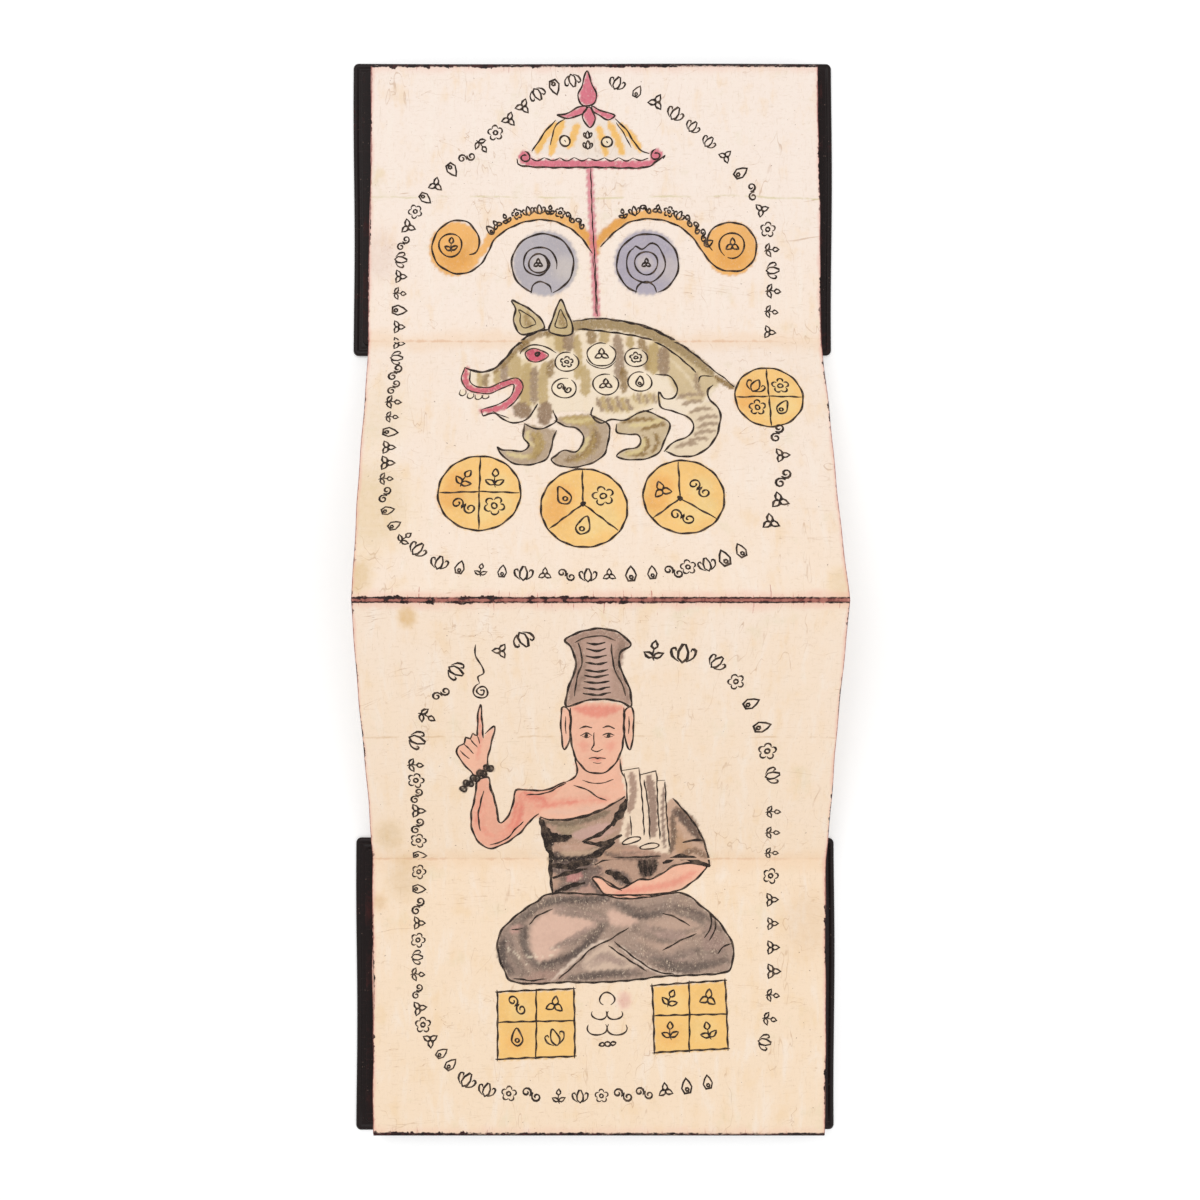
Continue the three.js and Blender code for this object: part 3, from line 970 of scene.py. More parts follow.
def draw_hermit(pages):
    hand = pages.at()
    hat = [(-14.1, -17.2), (-10.2, -14.4), (-1.7, -12.1), (6.9, -13.5), (12.5, -19), (8.6, -22.4),
           (7.8, -26), (9.2, -31.8), (11.8, -37.5), (13, -42.4), (12.8, -47.2), (8, -44.8), (0, -43.8),
           (-6.9, -44.8), (-13.5, -47.2), (-13.8, -42.4), (-12, -35.6), (-9.9, -29.8), (-10.3, -24.2),
           (-12, -20)]
    hand.fill(hat, HAT, 0.97)
    for path in ([(-11.5, -17.5), (-9, -24), (-8.8, -30), (-11.6, -37), (-12, -44)],
                 [(10, -19), (6.8, -24), (7, -31), (10.6, -38), (11.6, -44)],
                 [(-10, -16.6), (-1.4, -14), (8, -16)]):
        hand.brush(path, 2.2, (0.60, 0.49, 0.43), 0.4, 0.8)
    hand.brush([(-0.6, -18), (0, -30), (0, -42)], 9, (0.84, 0.70, 0.64), 0.65, 2.0)
    for x in (-8, 8):
        hand.scumble([(x * 1.2, -18), (x, -25), (x * 0.9, -32), (x * 1.3, -42)], 1.4, 14, 1.5,
                     ((0.58, 0.47, 0.41), (0.74, 0.61, 0.54)), 0.5)
    for i, s in enumerate((-18.2, -21, -24, -27, -30.4, -32.8, -35.6, -38.4, -41)):
        hand.line([(-5.4 - 0.2 * i, s), (-1.4, s - 0.9), (2.2 + 0.3 * i, s + 0.2)], 1.15)
    hand.line(hat, 1.05, closed=True)
    hand.line([(-9, -18.2), (-7.5, -23.3), (-7.5, -28), (-9.5, -34.6), (-10.4, -42.4)], 0.75)
    hand.line([(4.7, -18.7), (5.2, -26), (7, -32.7), (9.6, -37.5), (10.6, -42.4)], 0.75)
    hand.line([(-10.2, -18.2), (-5, -15.8), (1, -15.4), (6.4, -17.2)], 0.7)
    draw_head(pages)
    # Shoulder and raised arm
    arm = [(-14.4, -83.3), (-18, -84.6), (-22.4, -87), (-29.7, -87.3), (-35.1, -86.8), (-36.6, -89),
           (-38, -96), (-40.9, -102), (-43.6, -103.3), (-44.8, -94.8), (-46.9, -86.5), (-47.8, -80.8),
           (-52.4, -83), (-53.8, -90.6), (-55.7, -99), (-55.4, -107.6), (-52.4, -114), (-47.9, -116.7),
           (-41.3, -114), (-34.7, -108.7), (-29.9, -102.3), (-26.3, -99)]
    hand.fill([*arm[:6], (-34, -98), (-26, -101), (-13, -103), (0, -101), (12, -92), (11, -84), (9, -79),
               (-9, -80)], SKIN, 0.95)
    hand.fill(arm, (0.965, 0.70, 0.595), 0.97)
    for path in ([(-34, -91), (-37, -104), (-45, -111), (-52, -106), (-51, -94)],
                 [(-27, -95), (-12, -92.6), (3, -91.6)], [(-33, -90), (-24, -93)]):
        hand.brush(path, 3.4, BLUSH, 0.5, 1.4)
        hand.scumble(path, 1.5, 16, 1.6, (BLUSH, (0.97, 0.66, 0.56), SKIN), 0.55)
    hand.brush([(-22, -98), (-10, -98), (2, -95)], 2.6, THIGH, 0.5, 1.4)
    hand.line(arm, 1.0)
    hand.lines(0.8, [(-50, -87.5), (-52.6, -99), (-52, -107.6)],
               [(-47.3, -83.5), (-45.6, -90.6), (-44.2, -101)],
               [(-31.6, -89.6), (-23.4, -88.7), (-18, -85.8), (-14.4, -83.6)],
               [(-11.2, -84.9), (-6.2, -86.6), (-1, -90.4), (3, -92.4)],
               [(-48, -115), (-41, -112), (-36, -106), (-33, -103)])
    # Hand with one finger up, the beads, and the curl over the finger
    palm = [(-49.1, -62), (-49.2, -52), (-49.5, -46.3), (-50.9, -52), (-51.6, -60.6), (-53.4, -59.6),
            (-54.6, -62.4), (-56.4, -61.8), (-57.4, -64.6), (-59.4, -65.6), (-60.6, -68.4), (-59.4, -72),
            (-57.4, -75), (-55, -78), (-53.4, -80), (-48.6, -79), (-47.6, -72), (-46.2, -66),
            (-44, -56.4), (-48.2, -60)]
    hand.fill(palm, SKIN, 0.97)
    hand.brush([(-50.4, -51), (-50.3, -62), (-52, -72)], 1.4, BLUSH, 0.5, 0.7)
    hand.line(palm, 0.85)
    for start, end in (((-54.6, -62.4), (-51.8, -66.4)), ((-57.4, -64.8), (-53.4, -69.4)),
                       ((-51.6, -60.8), (-50.6, -64.6)), ((-59.2, -68), (-55.4, -72))):
        hand.line([start, end], 0.75)
    for i in range(9):
        x, s = -58.6 + i * 1.5, -86.6 + i * 1.25 + (i % 2) * 1.6
        hand.fill(ring(1.7, 7, x, s), BLACK, 0.85, 0.4)
        hand.line(ring(1.35, 7, x, s), 0.95, closed=True)
    hand.line(spiral(3.7, 2.1, start=100, inner=0.15) + (-48.9, -40.3), 0.85)
    hand.line([(-49.5, -36.6), (-50.3, -33.6), (-47.6, -31.8), (-49.3, -27), (-51, -23.3),
               (-50.4, -19.1)], 0.8)
    draw_robe(pages)


def draw_robe(pages):
    hand = pages.at()
    neckline = [(-25.8, -100.7), (-21.7, -101.9), (-14.4, -102), (-5.3, -99.8), (2.9, -95.9),
                (11, -90.4)]
    side = [(-25.8, -101), (-24.7, -108.7), (-22.9, -116), (-21.2, -119.2), (-21.6, -127), (-20.6, -138)]
    sleeve = [(28.5, -94.8), (31.5, -91.2), (36.7, -97.5), (41.5, -104.4), (45.5, -112.5), (49, -125.4),
              (43.9, -124.1), (37.4, -123.2), (31.4, -122.7), (30.8, -114), (28.8, -103.3)]
    hand.fill([*neckline, (12, -100), (28, -118), (40, -123), (30, -130), (12, -136), (0, -134),
               (4, -141), (-20, -140), *side[::-1]], UMBER, 0.97)
    hand.fill(sleeve, (0.82, 0.67, 0.57), 0.95)
    # Legs crossed under the robe
    legs = [(-20.2, -137.2), (-27.6, -140.9), (-34, -145), (-40.6, -150.6), (-43.9, -154.8),
            (-45.1, -160.4), (-43.9, -166.9), (-42, -171.5), (-39, -176), (-29.5, -177.2),
            (-14.6, -176.4), (-5.3, -176.6), (5.8, -176.2), (17, -175.3), (28, -173.9), (41, -173.4),
            (54, -172.5), (58.3, -169.7), (59.3, -160.8), (56.9, -155.7), (52.3, -149.2), (44.9, -142.7),
            (36.5, -137.2), (20, -138), (3, -138)]
    hand.fill(legs, (0.665, 0.56, 0.50), 0.95)
    lights = (
        ([(-29.5, -151), (-21, -144.6), (-14.6, -146.5), (-5.3, -147.4), (0.6, -148.3), (-5.3, -153.9),
          (-14.6, -160.4), (-22, -166), (-27.6, -166.9), (-30, -161)], THIGH, 0.828, 1.6),
        ([(-7, -167), (0.3, -160.6), (4, -158.4), (9.5, -164), (16, -169.7), (5.8, -171.4),
          (-5.3, -171.4)], (0.88, 0.77, 0.68), 0.828, 1.4),
        ([(4, -144.6), (10, -146), (17, -148.4), (14, -151.6), (5, -151)], THIGH, 0.765, 1.6),
        ([(18, -152), (30, -147.6), (40, -148.6), (46, -155), (36, -160), (28, -163), (17, -158)],
         (0.80, 0.67, 0.59), 0.765, 2.2),
        ([(30, -166), (42, -163), (50, -157), (54, -162), (44, -168)], (0.72, 0.62, 0.56), 0.63, 2.0),
        ([(-39, -152.6), (-35, -151), (-33.4, -153.4), (-38.6, -155)], (0.80, 0.62, 0.57), 0.81, 1.1),
        ([(48, -152), (55, -158), (54, -164), (46, -162)], (0.64, 0.52, 0.48), 0.63, 2.2),
        ([(-26, -171), (-15, -172), (-19, -176), (-34, -176.6)], (0.70, 0.56, 0.50), 0.72, 1.6),
    )
    for outline, tone, strength, soft in lights:
        hand.fill(outline, tone, strength, soft)
    strokes = (
        ([(-41.4, -154), (-42.6, -162), (-39.4, -170), (-32, -172.4)], 4.6, 0.3375),
        ([(-33.4, -151.6), (-33.6, -160), (-29.6, -168.6), (-21, -168)], 3.0, 0.3375),
        ([(-27.4, -170.6), (-18, -168.6), (-9, -162.6), (-1.6, -155.4), (3.4, -150.6)], 4.4, 0.36),
        ([(-20, -141), (-8, -141.6), (2, -140.6)], 4.0, 0.3825),
        ([(6, -142), (18, -144.6), (31, -142.6), (40, -145)], 3.2, 0.315),
        ([(15, -152), (20, -156.6), (29, -158.6)], 3.4, 0.315),
        ([(28, -169), (41, -169), (56, -165.6)], 5.0, 0.27),
        ([(-12, -174.6), (4, -172.6), (17, -171.6)], 2.8, 0.3825),
        ([(18, -160), (27, -165), (33, -170)], 3.6, 0.2475),
    )
    for path, width, strength in strokes:
        hand.brush(path, width, SHADE, strength, 1.0)
    hand.lines(0.8, [(-18, -175), (-10, -168), (-3.4, -161.6), (4, -158), (13, -152.4)],
               [(6.6, -158.6), (16, -166), (25, -171.6), (33, -173)],
               [(4, -160.4), (13, -166.6), (21, -171.6)], [(48.4, -144.6), (49.6, -151), (46.6, -157)],
               [(51, -148.6), (51.4, -153), (48.6, -158)], [(28, -146), (34, -148), (40, -151.6)],
               [(43, -155), (35, -158.6), (28, -162.6)], [(-38.8, -153.4), (-34, -152.8)],
               [(-31, -151), (-27, -147), (-20.4, -144.2)], [(52.4, -164), (54.6, -161), (59, -159.4)],
               [(-38, -174.8), (-30, -175.8), (-24, -175)])
    hand.line(legs, 1.0, closed=True)
    charcoal = ((0.36, 0.31, 0.29), (0.43, 0.37, 0.34), (0.50, 0.44, 0.40))
    grey = ((0.62, 0.53, 0.48), (0.72, 0.60, 0.55), (0.54, 0.47, 0.42))
    guides = (
        ([(-42, -155), (-31, -145), (-20, -140.6), (-9, -140), (3, -141)], 1.3, 17, charcoal),
        ([(-42.6, -157), (-43, -166), (-38.6, -173)], 1.2, 13, charcoal),
        ([(-33.6, -152), (-33, -161), (-28, -168.6)], 1.3, 10, charcoal),
        ([(-28.5, -170), (-18, -167.6), (-7, -160.6), (3, -151.4)], 1.4, 16, charcoal),
        ([(-39, -157), (-38.6, -164), (-34, -170)], 1.8, 9, grey),
        ([(-18, -145), (-6, -146), (2, -149)], 2.0, 10, grey),
        ([(-20, -162), (-10, -157), (-2, -152)], 1.6, 9, grey),
        ([(6, -142), (19, -146), (32, -144.6), (44, -147.6), (53, -155)], 1.6, 17, charcoal),
        ([(9, -157), (18, -163), (30, -166), (45, -163), (55, -162)], 1.8, 16, (*charcoal, *grey)),
        ([(21, -166), (36, -170), (56, -168.6)], 1.8, 16, charcoal),
        ([(16, -151), (28, -156), (40, -155), (48, -151)], 2.6, 20, grey),
        ([(-14, -175), (4, -172.6), (18, -172.4)], 1.0, 9, charcoal),
        ([(-5, -168), (3, -165), (12, -168.6)], 1.6, 6, ((0.80, 0.68, 0.62), (0.66, 0.56, 0.51))),
    )
    for path, spread, count, tones in guides:
        hand.scumble(path, spread, count, 1.9, tones, 0.48)
    for path in ([(-20.6, -175.4), (-12, -167.6), (-4, -161), (3, -157.6)],
                 [(9.4, -160.6), (18, -168), (28, -172.6), (36, -173)]):
        hand.brush(path, 1.3, (0.94, 0.85, 0.77), 0.75, 0.4)
    for _ in range(22):
        x = pages.chance.uniform(-41, -18)
        s = -161 - 5 * math.sin((x + 41) / 23 * math.pi) + pages.chance.uniform(-3, 3)
        hand.brush([(x, s), (x + 0.7, s - 0.3)], 0.7, CREAM, 0.6, 0.3)
    # Brush strokes of the robe
    hand.fill([(-25.6, -101.8), (-23.4, -104), (-21, -109), (-15.5, -109.4), (-12.6, -110),
               (-13.6, -113), (-19.6, -113.8), (-21.4, -118), (-24, -113)], BLACK, 0.95, 0.4)
    hand.fill([(-21.8, -118.6), (-12, -119.2), (-4, -117.2), (3, -112.6), (4, -115), (-2, -121),
               (-8, -124), (-20.8, -126)], (0.30, 0.26, 0.25), 0.85, 0.6)
    hand.scumble([(33, -97), (39, -103), (44, -112)], 2.0, 14, 2.0,
                 ((0.44, 0.36, 0.32), (0.56, 0.44, 0.36)), 0.7)
    hand.scumble([(33, -106), (36, -113), (43, -118)], 2.0, 12, 2.0,
                 ((0.84, 0.68, 0.56), (0.74, 0.60, 0.50)), 0.7)
    hand.scumble([(-18, -115.6), (-8, -115.4), (2, -111)], 1.4, 12, 1.6,
                 ((0.86, 0.72, 0.64), (0.78, 0.62, 0.53)), 0.7)
    hand.scumble([(-18, -131), (-8, -130), (0, -128)], 2.6, 16, 1.8,
                 ((0.52, 0.44, 0.40), (0.36, 0.31, 0.29), (0.80, 0.62, 0.56)), 0.65)
    hand.scumble([(2, -119), (12, -119), (24, -119)], 1.6, 12, 1.6,
                 ((0.80, 0.63, 0.54), (0.62, 0.50, 0.44)), 0.6)
    patches = (
        ([(-18.6, -104.8), (-8, -105), (-3, -107), (-10, -111), (-17, -109)], (0.68, 0.59, 0.48)),
        ([(-12, -109), (0, -104), (6.6, -104.4), (0, -109), (-8, -112.4)], (0.84, 0.68, 0.63)),
        ([(-17, -118.4), (-4, -117.4), (2, -113.6), (-4, -119.4), (-15, -120.8)], (0.82, 0.69, 0.58)),
        ([(-14.4, -129), (-8, -127.4), (-8.6, -131.6), (-14, -132)], (0.80, 0.56, 0.53)),
        ([(0, -117.6), (9, -115.6), (8.4, -120.4), (-2, -122)], (0.76, 0.61, 0.51)),
        ([(-9, -134.4), (-2, -132), (-2, -137), (-10, -138.6)], (0.74, 0.59, 0.53)),
        ([(-5, -110.4), (5, -107), (8.6, -106.6), (0, -111.6)], (0.82, 0.66, 0.60)),
        ([(33, -109), (38, -114), (40, -120), (34, -119)], (0.78, 0.62, 0.49)),
        ([(17, -122), (25.6, -122), (24.8, -128), (19, -130.4)], BLACK),
        ([(4, -126.6), (12, -128.6), (14.6, -133), (9, -133.4)], SHADE),
        ([(38, -103), (43, -110), (40, -108)], (0.80, 0.64, 0.52)),
    )
    for outline, tone in patches:
        hand.fill(outline, tone, 0.85, 0.6)
    bands = (
        ([(-23, -103), (-14, -104), (-4, -101.4), (4, -98)], 3.0, (0.52, 0.45, 0.37)),
        ([(-20.4, -127), (-10, -126), (-2, -122.4)], 4.6, SHADE),
        ([(-21.6, -121.8), (-10, -122), (-3, -120.6)], 1.8, BLACK),
        ([(-19, -136), (-10, -134), (-4, -131.4)], 3.2, SHADE),
        ([(-3, -132), (0, -136), (4, -140)], 3.4, SHADE),
        ([(34, -98), (38.6, -104), (42.6, -110.6)], 3.4, (0.44, 0.36, 0.32)),
        ([(31.6, -100), (32.4, -110), (31.4, -119)], 2.4, (0.46, 0.37, 0.31)),
        ([(2, -119), (12, -121.6), (26, -121.4)], 2.2, (0.52, 0.42, 0.37)),
        ([(36, -120), (42, -117.6), (47, -121)], 3.0, (0.56, 0.44, 0.36)),
    )
    for path, width, tone in bands:
        hand.brush(path, width, tone, 0.85, 0.6)
    strokes = (
        (neckline, 1.6), (side, 2.4),
        ([(-25.4, -102), (-23.4, -108), (-18.4, -111.6), (-12, -110.4)], 5.0),
        ([(-24.2, -109), (-22.6, -115), (-21.4, -121)], 3.4),
        ([(11.6, -91.6), (9.6, -97.4), (5.4, -105)], 4.2),
        ([(6.4, -103.4), (0, -109.4), (-7.6, -113.2)], 2.2),
        ([(-7, -113.6), (2, -114.2), (9.8, -109.6)], 2.8),
        ([(-21, -125), (-12.4, -125.2), (-3.6, -121.4), (6.6, -113.2)], 4.2),
        ([(-20.6, -130.4), (-12.6, -128), (-5.2, -126.4)], 2.2),
        ([(-19.6, -136.8), (-12.6, -134), (-6.2, -132.6)], 2.4),
        ([(-2, -124.6), (4, -122.2), (14, -121.6), (27, -120.6)], 1.5),
        ([(28, -124), (36.4, -121), (49, -125.4)], 3.2),
        ([(36.4, -113.6), (41, -112.4), (46, -112.8)], 1.6), ([(17.6, -122.8), (18.6, -128)], 2.0),
        ([(19.8, -122.6), (20.6, -129.8)], 2.2), ([(22.2, -122.6), (22.8, -129.4)], 2.2),
        ([(24.6, -122.6), (24.6, -127)], 1.6), ([(2.6, -127.6), (8, -129.4), (13.6, -133)], 3.8),
    )
    for path, width in strokes:
        hand.line(path, width)
    # The forearm in the lap
    forearm = [(-3, -130.7), (0.3, -135.3), (3, -138), (10.5, -139.6), (18.8, -139.2), (28, -137.8),
               (36.5, -135.3), (43, -130.7), (47.4, -125.6), (44, -124.4), (38.4, -124), (32.8, -125.2),
               (27.2, -128.8), (22.6, -131), (17.9, -131.2), (14.7, -132.5), (9.5, -135.2), (4, -132.5),
               (0.3, -130.2)]
    hand.fill(forearm, SKIN, 1.0, 0.4)
    hand.brush([(42, -128), (33, -132.6), (22, -135), (8, -137)], 2.8, BLUSH, 0.55, 1.2)
    hand.line(forearm, 0.95, closed=True)
    hand.line([(1.6, -131.6), (5, -134), (10, -136.2)], 0.6)
    hand.line(sleeve[1:6], 0.95)
    # Cloth folded on the shoulder
    cloth = [(9.4, -77.6), (16.8, -76.2), (17.4, -79.6), (24, -77.8), (24.6, -82.6), (28, -82.4),
             (28.6, -90), (28.8, -104), (30.4, -118), (26, -118.6), (16, -115), (9, -113.6), (10, -104),
             (11.8, -92)]
    hand.fill(cloth, CLOTH, 1.0, 0.4)
    for path, width, tone in (([(13.6, -79), (14.6, -88), (13, -98)], 3.06, (0.68, 0.55, 0.48)),
                              ([(21, -80.6), (23, -94), (23.4, -110)], 3.78, (0.62, 0.50, 0.44)),
                              ([(27.6, -86), (27.4, -100), (28.6, -116)], 1.44, (0.56, 0.45, 0.40)),
                              ([(13, -104), (12, -111)], 1.8, (0.72, 0.60, 0.52))):
        hand.brush(path, width, tone, 0.9, 0.35)
    hand.lines(0.7, [(10.6, -79), (11.8, -88), (11.6, -96)], [(16.8, -77), (18.4, -92), (19.6, -110)],
               [(19, -82), (21.4, -98), (22, -112)], [(24.4, -79), (25.2, -96), (26.6, -112)],
               [(28, -83), (29, -98), (31, -117)], [(13.4, -100), (14, -110)])
    hand.line(cloth[:6], 0.85, curved=False)
    for x, s, turn in ((14, -112.6, 20), (22, -115.6, 10)):
        pages.at(x, s, 1, turn).shape(ring(4.2, 12, squash=0.34), CLOTH, 0.95, 0.8, 0.3)


def draw_square(pages, x, s, corners, middle):
    """An ochre square in four parts, with a curl in each.

    The corners and the crossing of the middle lines are given from its centre.
    """
    hand = pages.at(x, s)
    hand.fill([(a + 0.4, b - 0.5) for a, b in corners], OCHRE, 0.97, 0.5, curved=False)
    hand.fill(ring(6, 9, 6, -5), SUN, 0.5, 3)
    hand.fill(ring(5, 9, -7, 6), SUN, 0.6, 3)
    hand.fill(ring(4, 9, -9, -8), ORANGE, 0.6, 3)
    low, high = np.min(corners, axis=0), np.max(corners, axis=0)
    for start, end in zip(corners, (*corners[1:], corners[0])):
        start, end = np.array(start), np.array(end)
        over = (end - start) / np.linalg.norm(end - start) * 0.9
        hand.line([start - over, (start + end) / 2 + (0.2, 0.1), end + over], 0.95)
    hand.line([(low[0], middle[1] - 0.4), (0, middle[1]), (high[0], middle[1] + 0.3)], 0.9)
    hand.line([(middle[0], high[1]), (middle[0] + 0.2, 0), (middle[0], low[1])], 0.9)
    for i, (across, along) in enumerate(((-1, 1), (1, 1), (-1, -1), (1, -1))):
        put_curl(pages, x + middle[0] + across * 8.4, s + middle[1] + along * 7.2, 1.4, 12 * i - 20)


def draw_pages(pages):
    """Everything that is painted, apart from the borders of curls."""
    left = [(-1.2, 160.7), (-4.5, 165.8), (-9.6, 170.9), (-17, 174.6), (-24.5, 175.6), (-32.8, 174.2),
            (-40.3, 170.5), (-44.9, 166.3), (-47.7, 160.2), (-50.9, 155.6), (-55.1, 152.8),
            (-60.7, 151.7), (-67.2, 154.2), (-70.9, 158.4), (-72.1, 163.5), (-70.9, 168.6),
            (-67.2, 173.2), (-61.6, 175.4), (-56.1, 174.2), (-52.3, 169.5), (-51.1, 164.9),
            (-52.8, 161.2), (-55.6, 160.1)]
    right = [(2.5, 163.5), (7.1, 168.6), (14.6, 174.2), (22.9, 176), (31.3, 175.1), (38.7, 171.9),
             (44.3, 166.7), (48, 161.2), (52.6, 155.6), (56, 153.8), (59.2, 153), (64.7, 153.3),
             (69.4, 156.5), (71.7, 162.1), (70.8, 168.1), (66.6, 172.8), (61, 174.4), (54.5, 173.2),
             (50.8, 169.5), (49.9, 165.8), (52.2, 162.1)]
    draw_scroll(pages, left, (-24, 156), (-64, 164.4, 5.1, 40, 410))
    draw_scroll(pages, right, (24, 156), (60.8, 164.3, 5.6, -110, 235))
    draw_parasol(pages)
    draw_target(pages, -23.1, 156.1, SLATE, False)
    draw_target(pages, 23.4, 156.1, BLUE_SLATE, True)
    draw_boar(pages)
    draw_wheel(pages, 74.6, 93.6, 14.6, (0, 0.4), (0, 90, 180, 270))
    draw_wheel(pages, -49.3, 47.5, 17.2, (0, 0.6), (0, 90, 180, 270))
    draw_wheel(pages, -5.8, 40.7, 17.9, (-0.4, 1.7), (92, 214, 323))
    draw_wheel(pages, 35.8, 45.8, 16.9, (-1.6, -0.8), (96, 217, 322))
    draw_hermit(pages)
    draw_square(pages, -28.2, -195, ((-17.1, 14.2), (16.8, 15.6), (17.3, -14.2), (-16.9, -15.5)),
                (0.1, 1.2))
    draw_square(pages, 40, -191.8, ((-16.7, 13.8), (15.5, 16.1), (16.7, -14.1), (-15.8, -15.8)),
                (-0.4, 0.9))
    column = pages.at(3.4, -193)
    column.line(round_line(3.3, -60, 240, squash=0.9, steps=12) + (0, 9), 0.8)
    for s, reach in ((2.6, 3.4), (-3.6, 4.4)):
        arc = round_line(reach, 150, 385, squash=0.75, steps=9)
        for side in (-1, 1):
            column.line(arc * (side, 1) + (side * reach, s), 0.8)
    beads(pages.at(3.6, -203.8, 1.0))
    stains = ((-77.9, -7, 3.6, (0.95, 0.76, 0.45), 0.6), (-92, -110, 6, (0.90, 0.76, 0.52), 0.35),
              (-86, -130, 8, (0.88, 0.74, 0.52), 0.3), (-97, -141, 3, (0.92, 0.72, 0.45), 0.35),
              (-98, 10, 6, (0.95, 0.80, 0.52), 0.5), (11, -184.5, 2.8, (0.95, 0.68, 0.66), 0.5),
              (98, 6, 6, (0.96, 0.82, 0.56), 0.35), (-94, 42, 16, (0.98, 0.86, 0.64), 0.45),
              (-92, 84, 12, (0.98, 0.88, 0.70), 0.3), (-96, 160, 9, (0.96, 0.84, 0.78), 0.35),
              (92, -150, 12, (0.95, 0.80, 0.62), 0.3))
    for x, s, radius, colour, strength in stains:
        pages.at(x, s).fill(ring(radius, 9, squash=1.3), colour, strength, radius * 0.6)


PAGES = Pages(seed=23)
draw_pages(PAGES)


# Materials


class Wire:
    """A value in a material. Python's operators on it add the Math nodes."""

    def __init__(self, finish, socket):
        self.finish, self.socket = finish, socket

    def joined(self, operation, first, second=None):
        values = {0: first} if second is None else {0: first, 1: second}
        return self.finish.node("Math", {"operation": operation}, values)

    def __add__(self, other):
        return self.joined("ADD", self, other)

    def __sub__(self, other):
        return self.joined("SUBTRACT", self, other)

    def __rsub__(self, other):
        return self.joined("SUBTRACT", other, self)

    def __mul__(self, other):
        return self.joined("MULTIPLY", self, other)

    def __abs__(self):
        return self.joined("ABSOLUTE", self)

    __radd__, __rmul__ = __add__, __mul__

    def most(self, other):
        return self.joined("MAXIMUM", self, other)

    def part(self):
        """What is left after the whole number."""
        return self.joined("FRACT", self)


class Finish:
    """A material under construction, with its Principled shader."""

    def __init__(self, name, **constants):
        self.material = bpy.data.materials.new(name)
        self.material.use_nodes = True
        self.tree = self.material.node_tree
        self.shader = self.tree.nodes["Principled BSDF"]
        for socket, value in constants.items():
            self.shader.inputs[socket.replace("_", " ")].default_value = value

    def feed(self, socket, value):
        if isinstance(value, Wire):
            self.tree.links.new(value.socket, socket)
        elif socket.type == "RGBA" and len(value) == 3:
            socket.default_value = (*value, 1)
        else:
            socket.default_value = value

    def node(self, kind, settings=None, values=None, out=0):
        """A node by its type: settings first, then the values or links of its sockets."""
        made = self.tree.nodes.new("ShaderNode" + kind)
        for name, value in (settings or {}).items():
            setattr(made, name, value)
        for name, value in (values or {}).items():
            self.feed(made.inputs[name], value)
        return Wire(self, made.outputs[out])

    def mix(self, one, two, share):
        """Colour one where the share is 0, and two where it is 1."""
        return self.node("Mix", {"data_type": "RGBA"}, {0: share, 6: one, 7: two}, out=2)

    def over(self, ground, colour, share):
        """A written colour laid over the ground by a share."""
        return self.mix(ground, linear(colour), share)

    def noise(self, place, scale, detail=2.0, roughness=0.5, distortion=0.0):
        names = ("Vector", "Scale", "Detail", "Roughness", "Distortion")
        values = dict(zip(names, (place, scale, detail, roughness, distortion)))
        return self.node("TexNoise", {}, values, out="Fac")

    def step(self, value, low, high):
        """0 at low and 1 at high, smooth between. Low may be the larger."""
        settings = {"interpolation_type": "SMOOTHSTEP"}
        return self.node("MapRange", settings, {"Value": value, "From Min": low, "From Max": high})

    def stretched(self, place, scale):
        return self.node("VectorMath", {"operation": "MULTIPLY"}, {0: place, 1: scale})

    def axes(self, place):
        made = self.node("SeparateXYZ", {}, {0: place})
        return [Wire(self, socket) for socket in made.socket.node.outputs]

    def bump(self, height, strength, distance):
        normal = self.node("Bump", {}, {"Height": height, "Strength": strength, "Distance": distance})
        self.feed(self.shader.inputs["Normal"], normal)

    def done(self, colour, roughness):
        self.feed(self.shader.inputs["Base Color"], colour)
        self.feed(self.shader.inputs["Roughness"], roughness)
        return self.material


def looks():
    return bpy.context.scene.manuscript


def tint(name):
    """A colour that the user sets, in the values that light adds up in."""
    return linear(getattr(looks(), name))


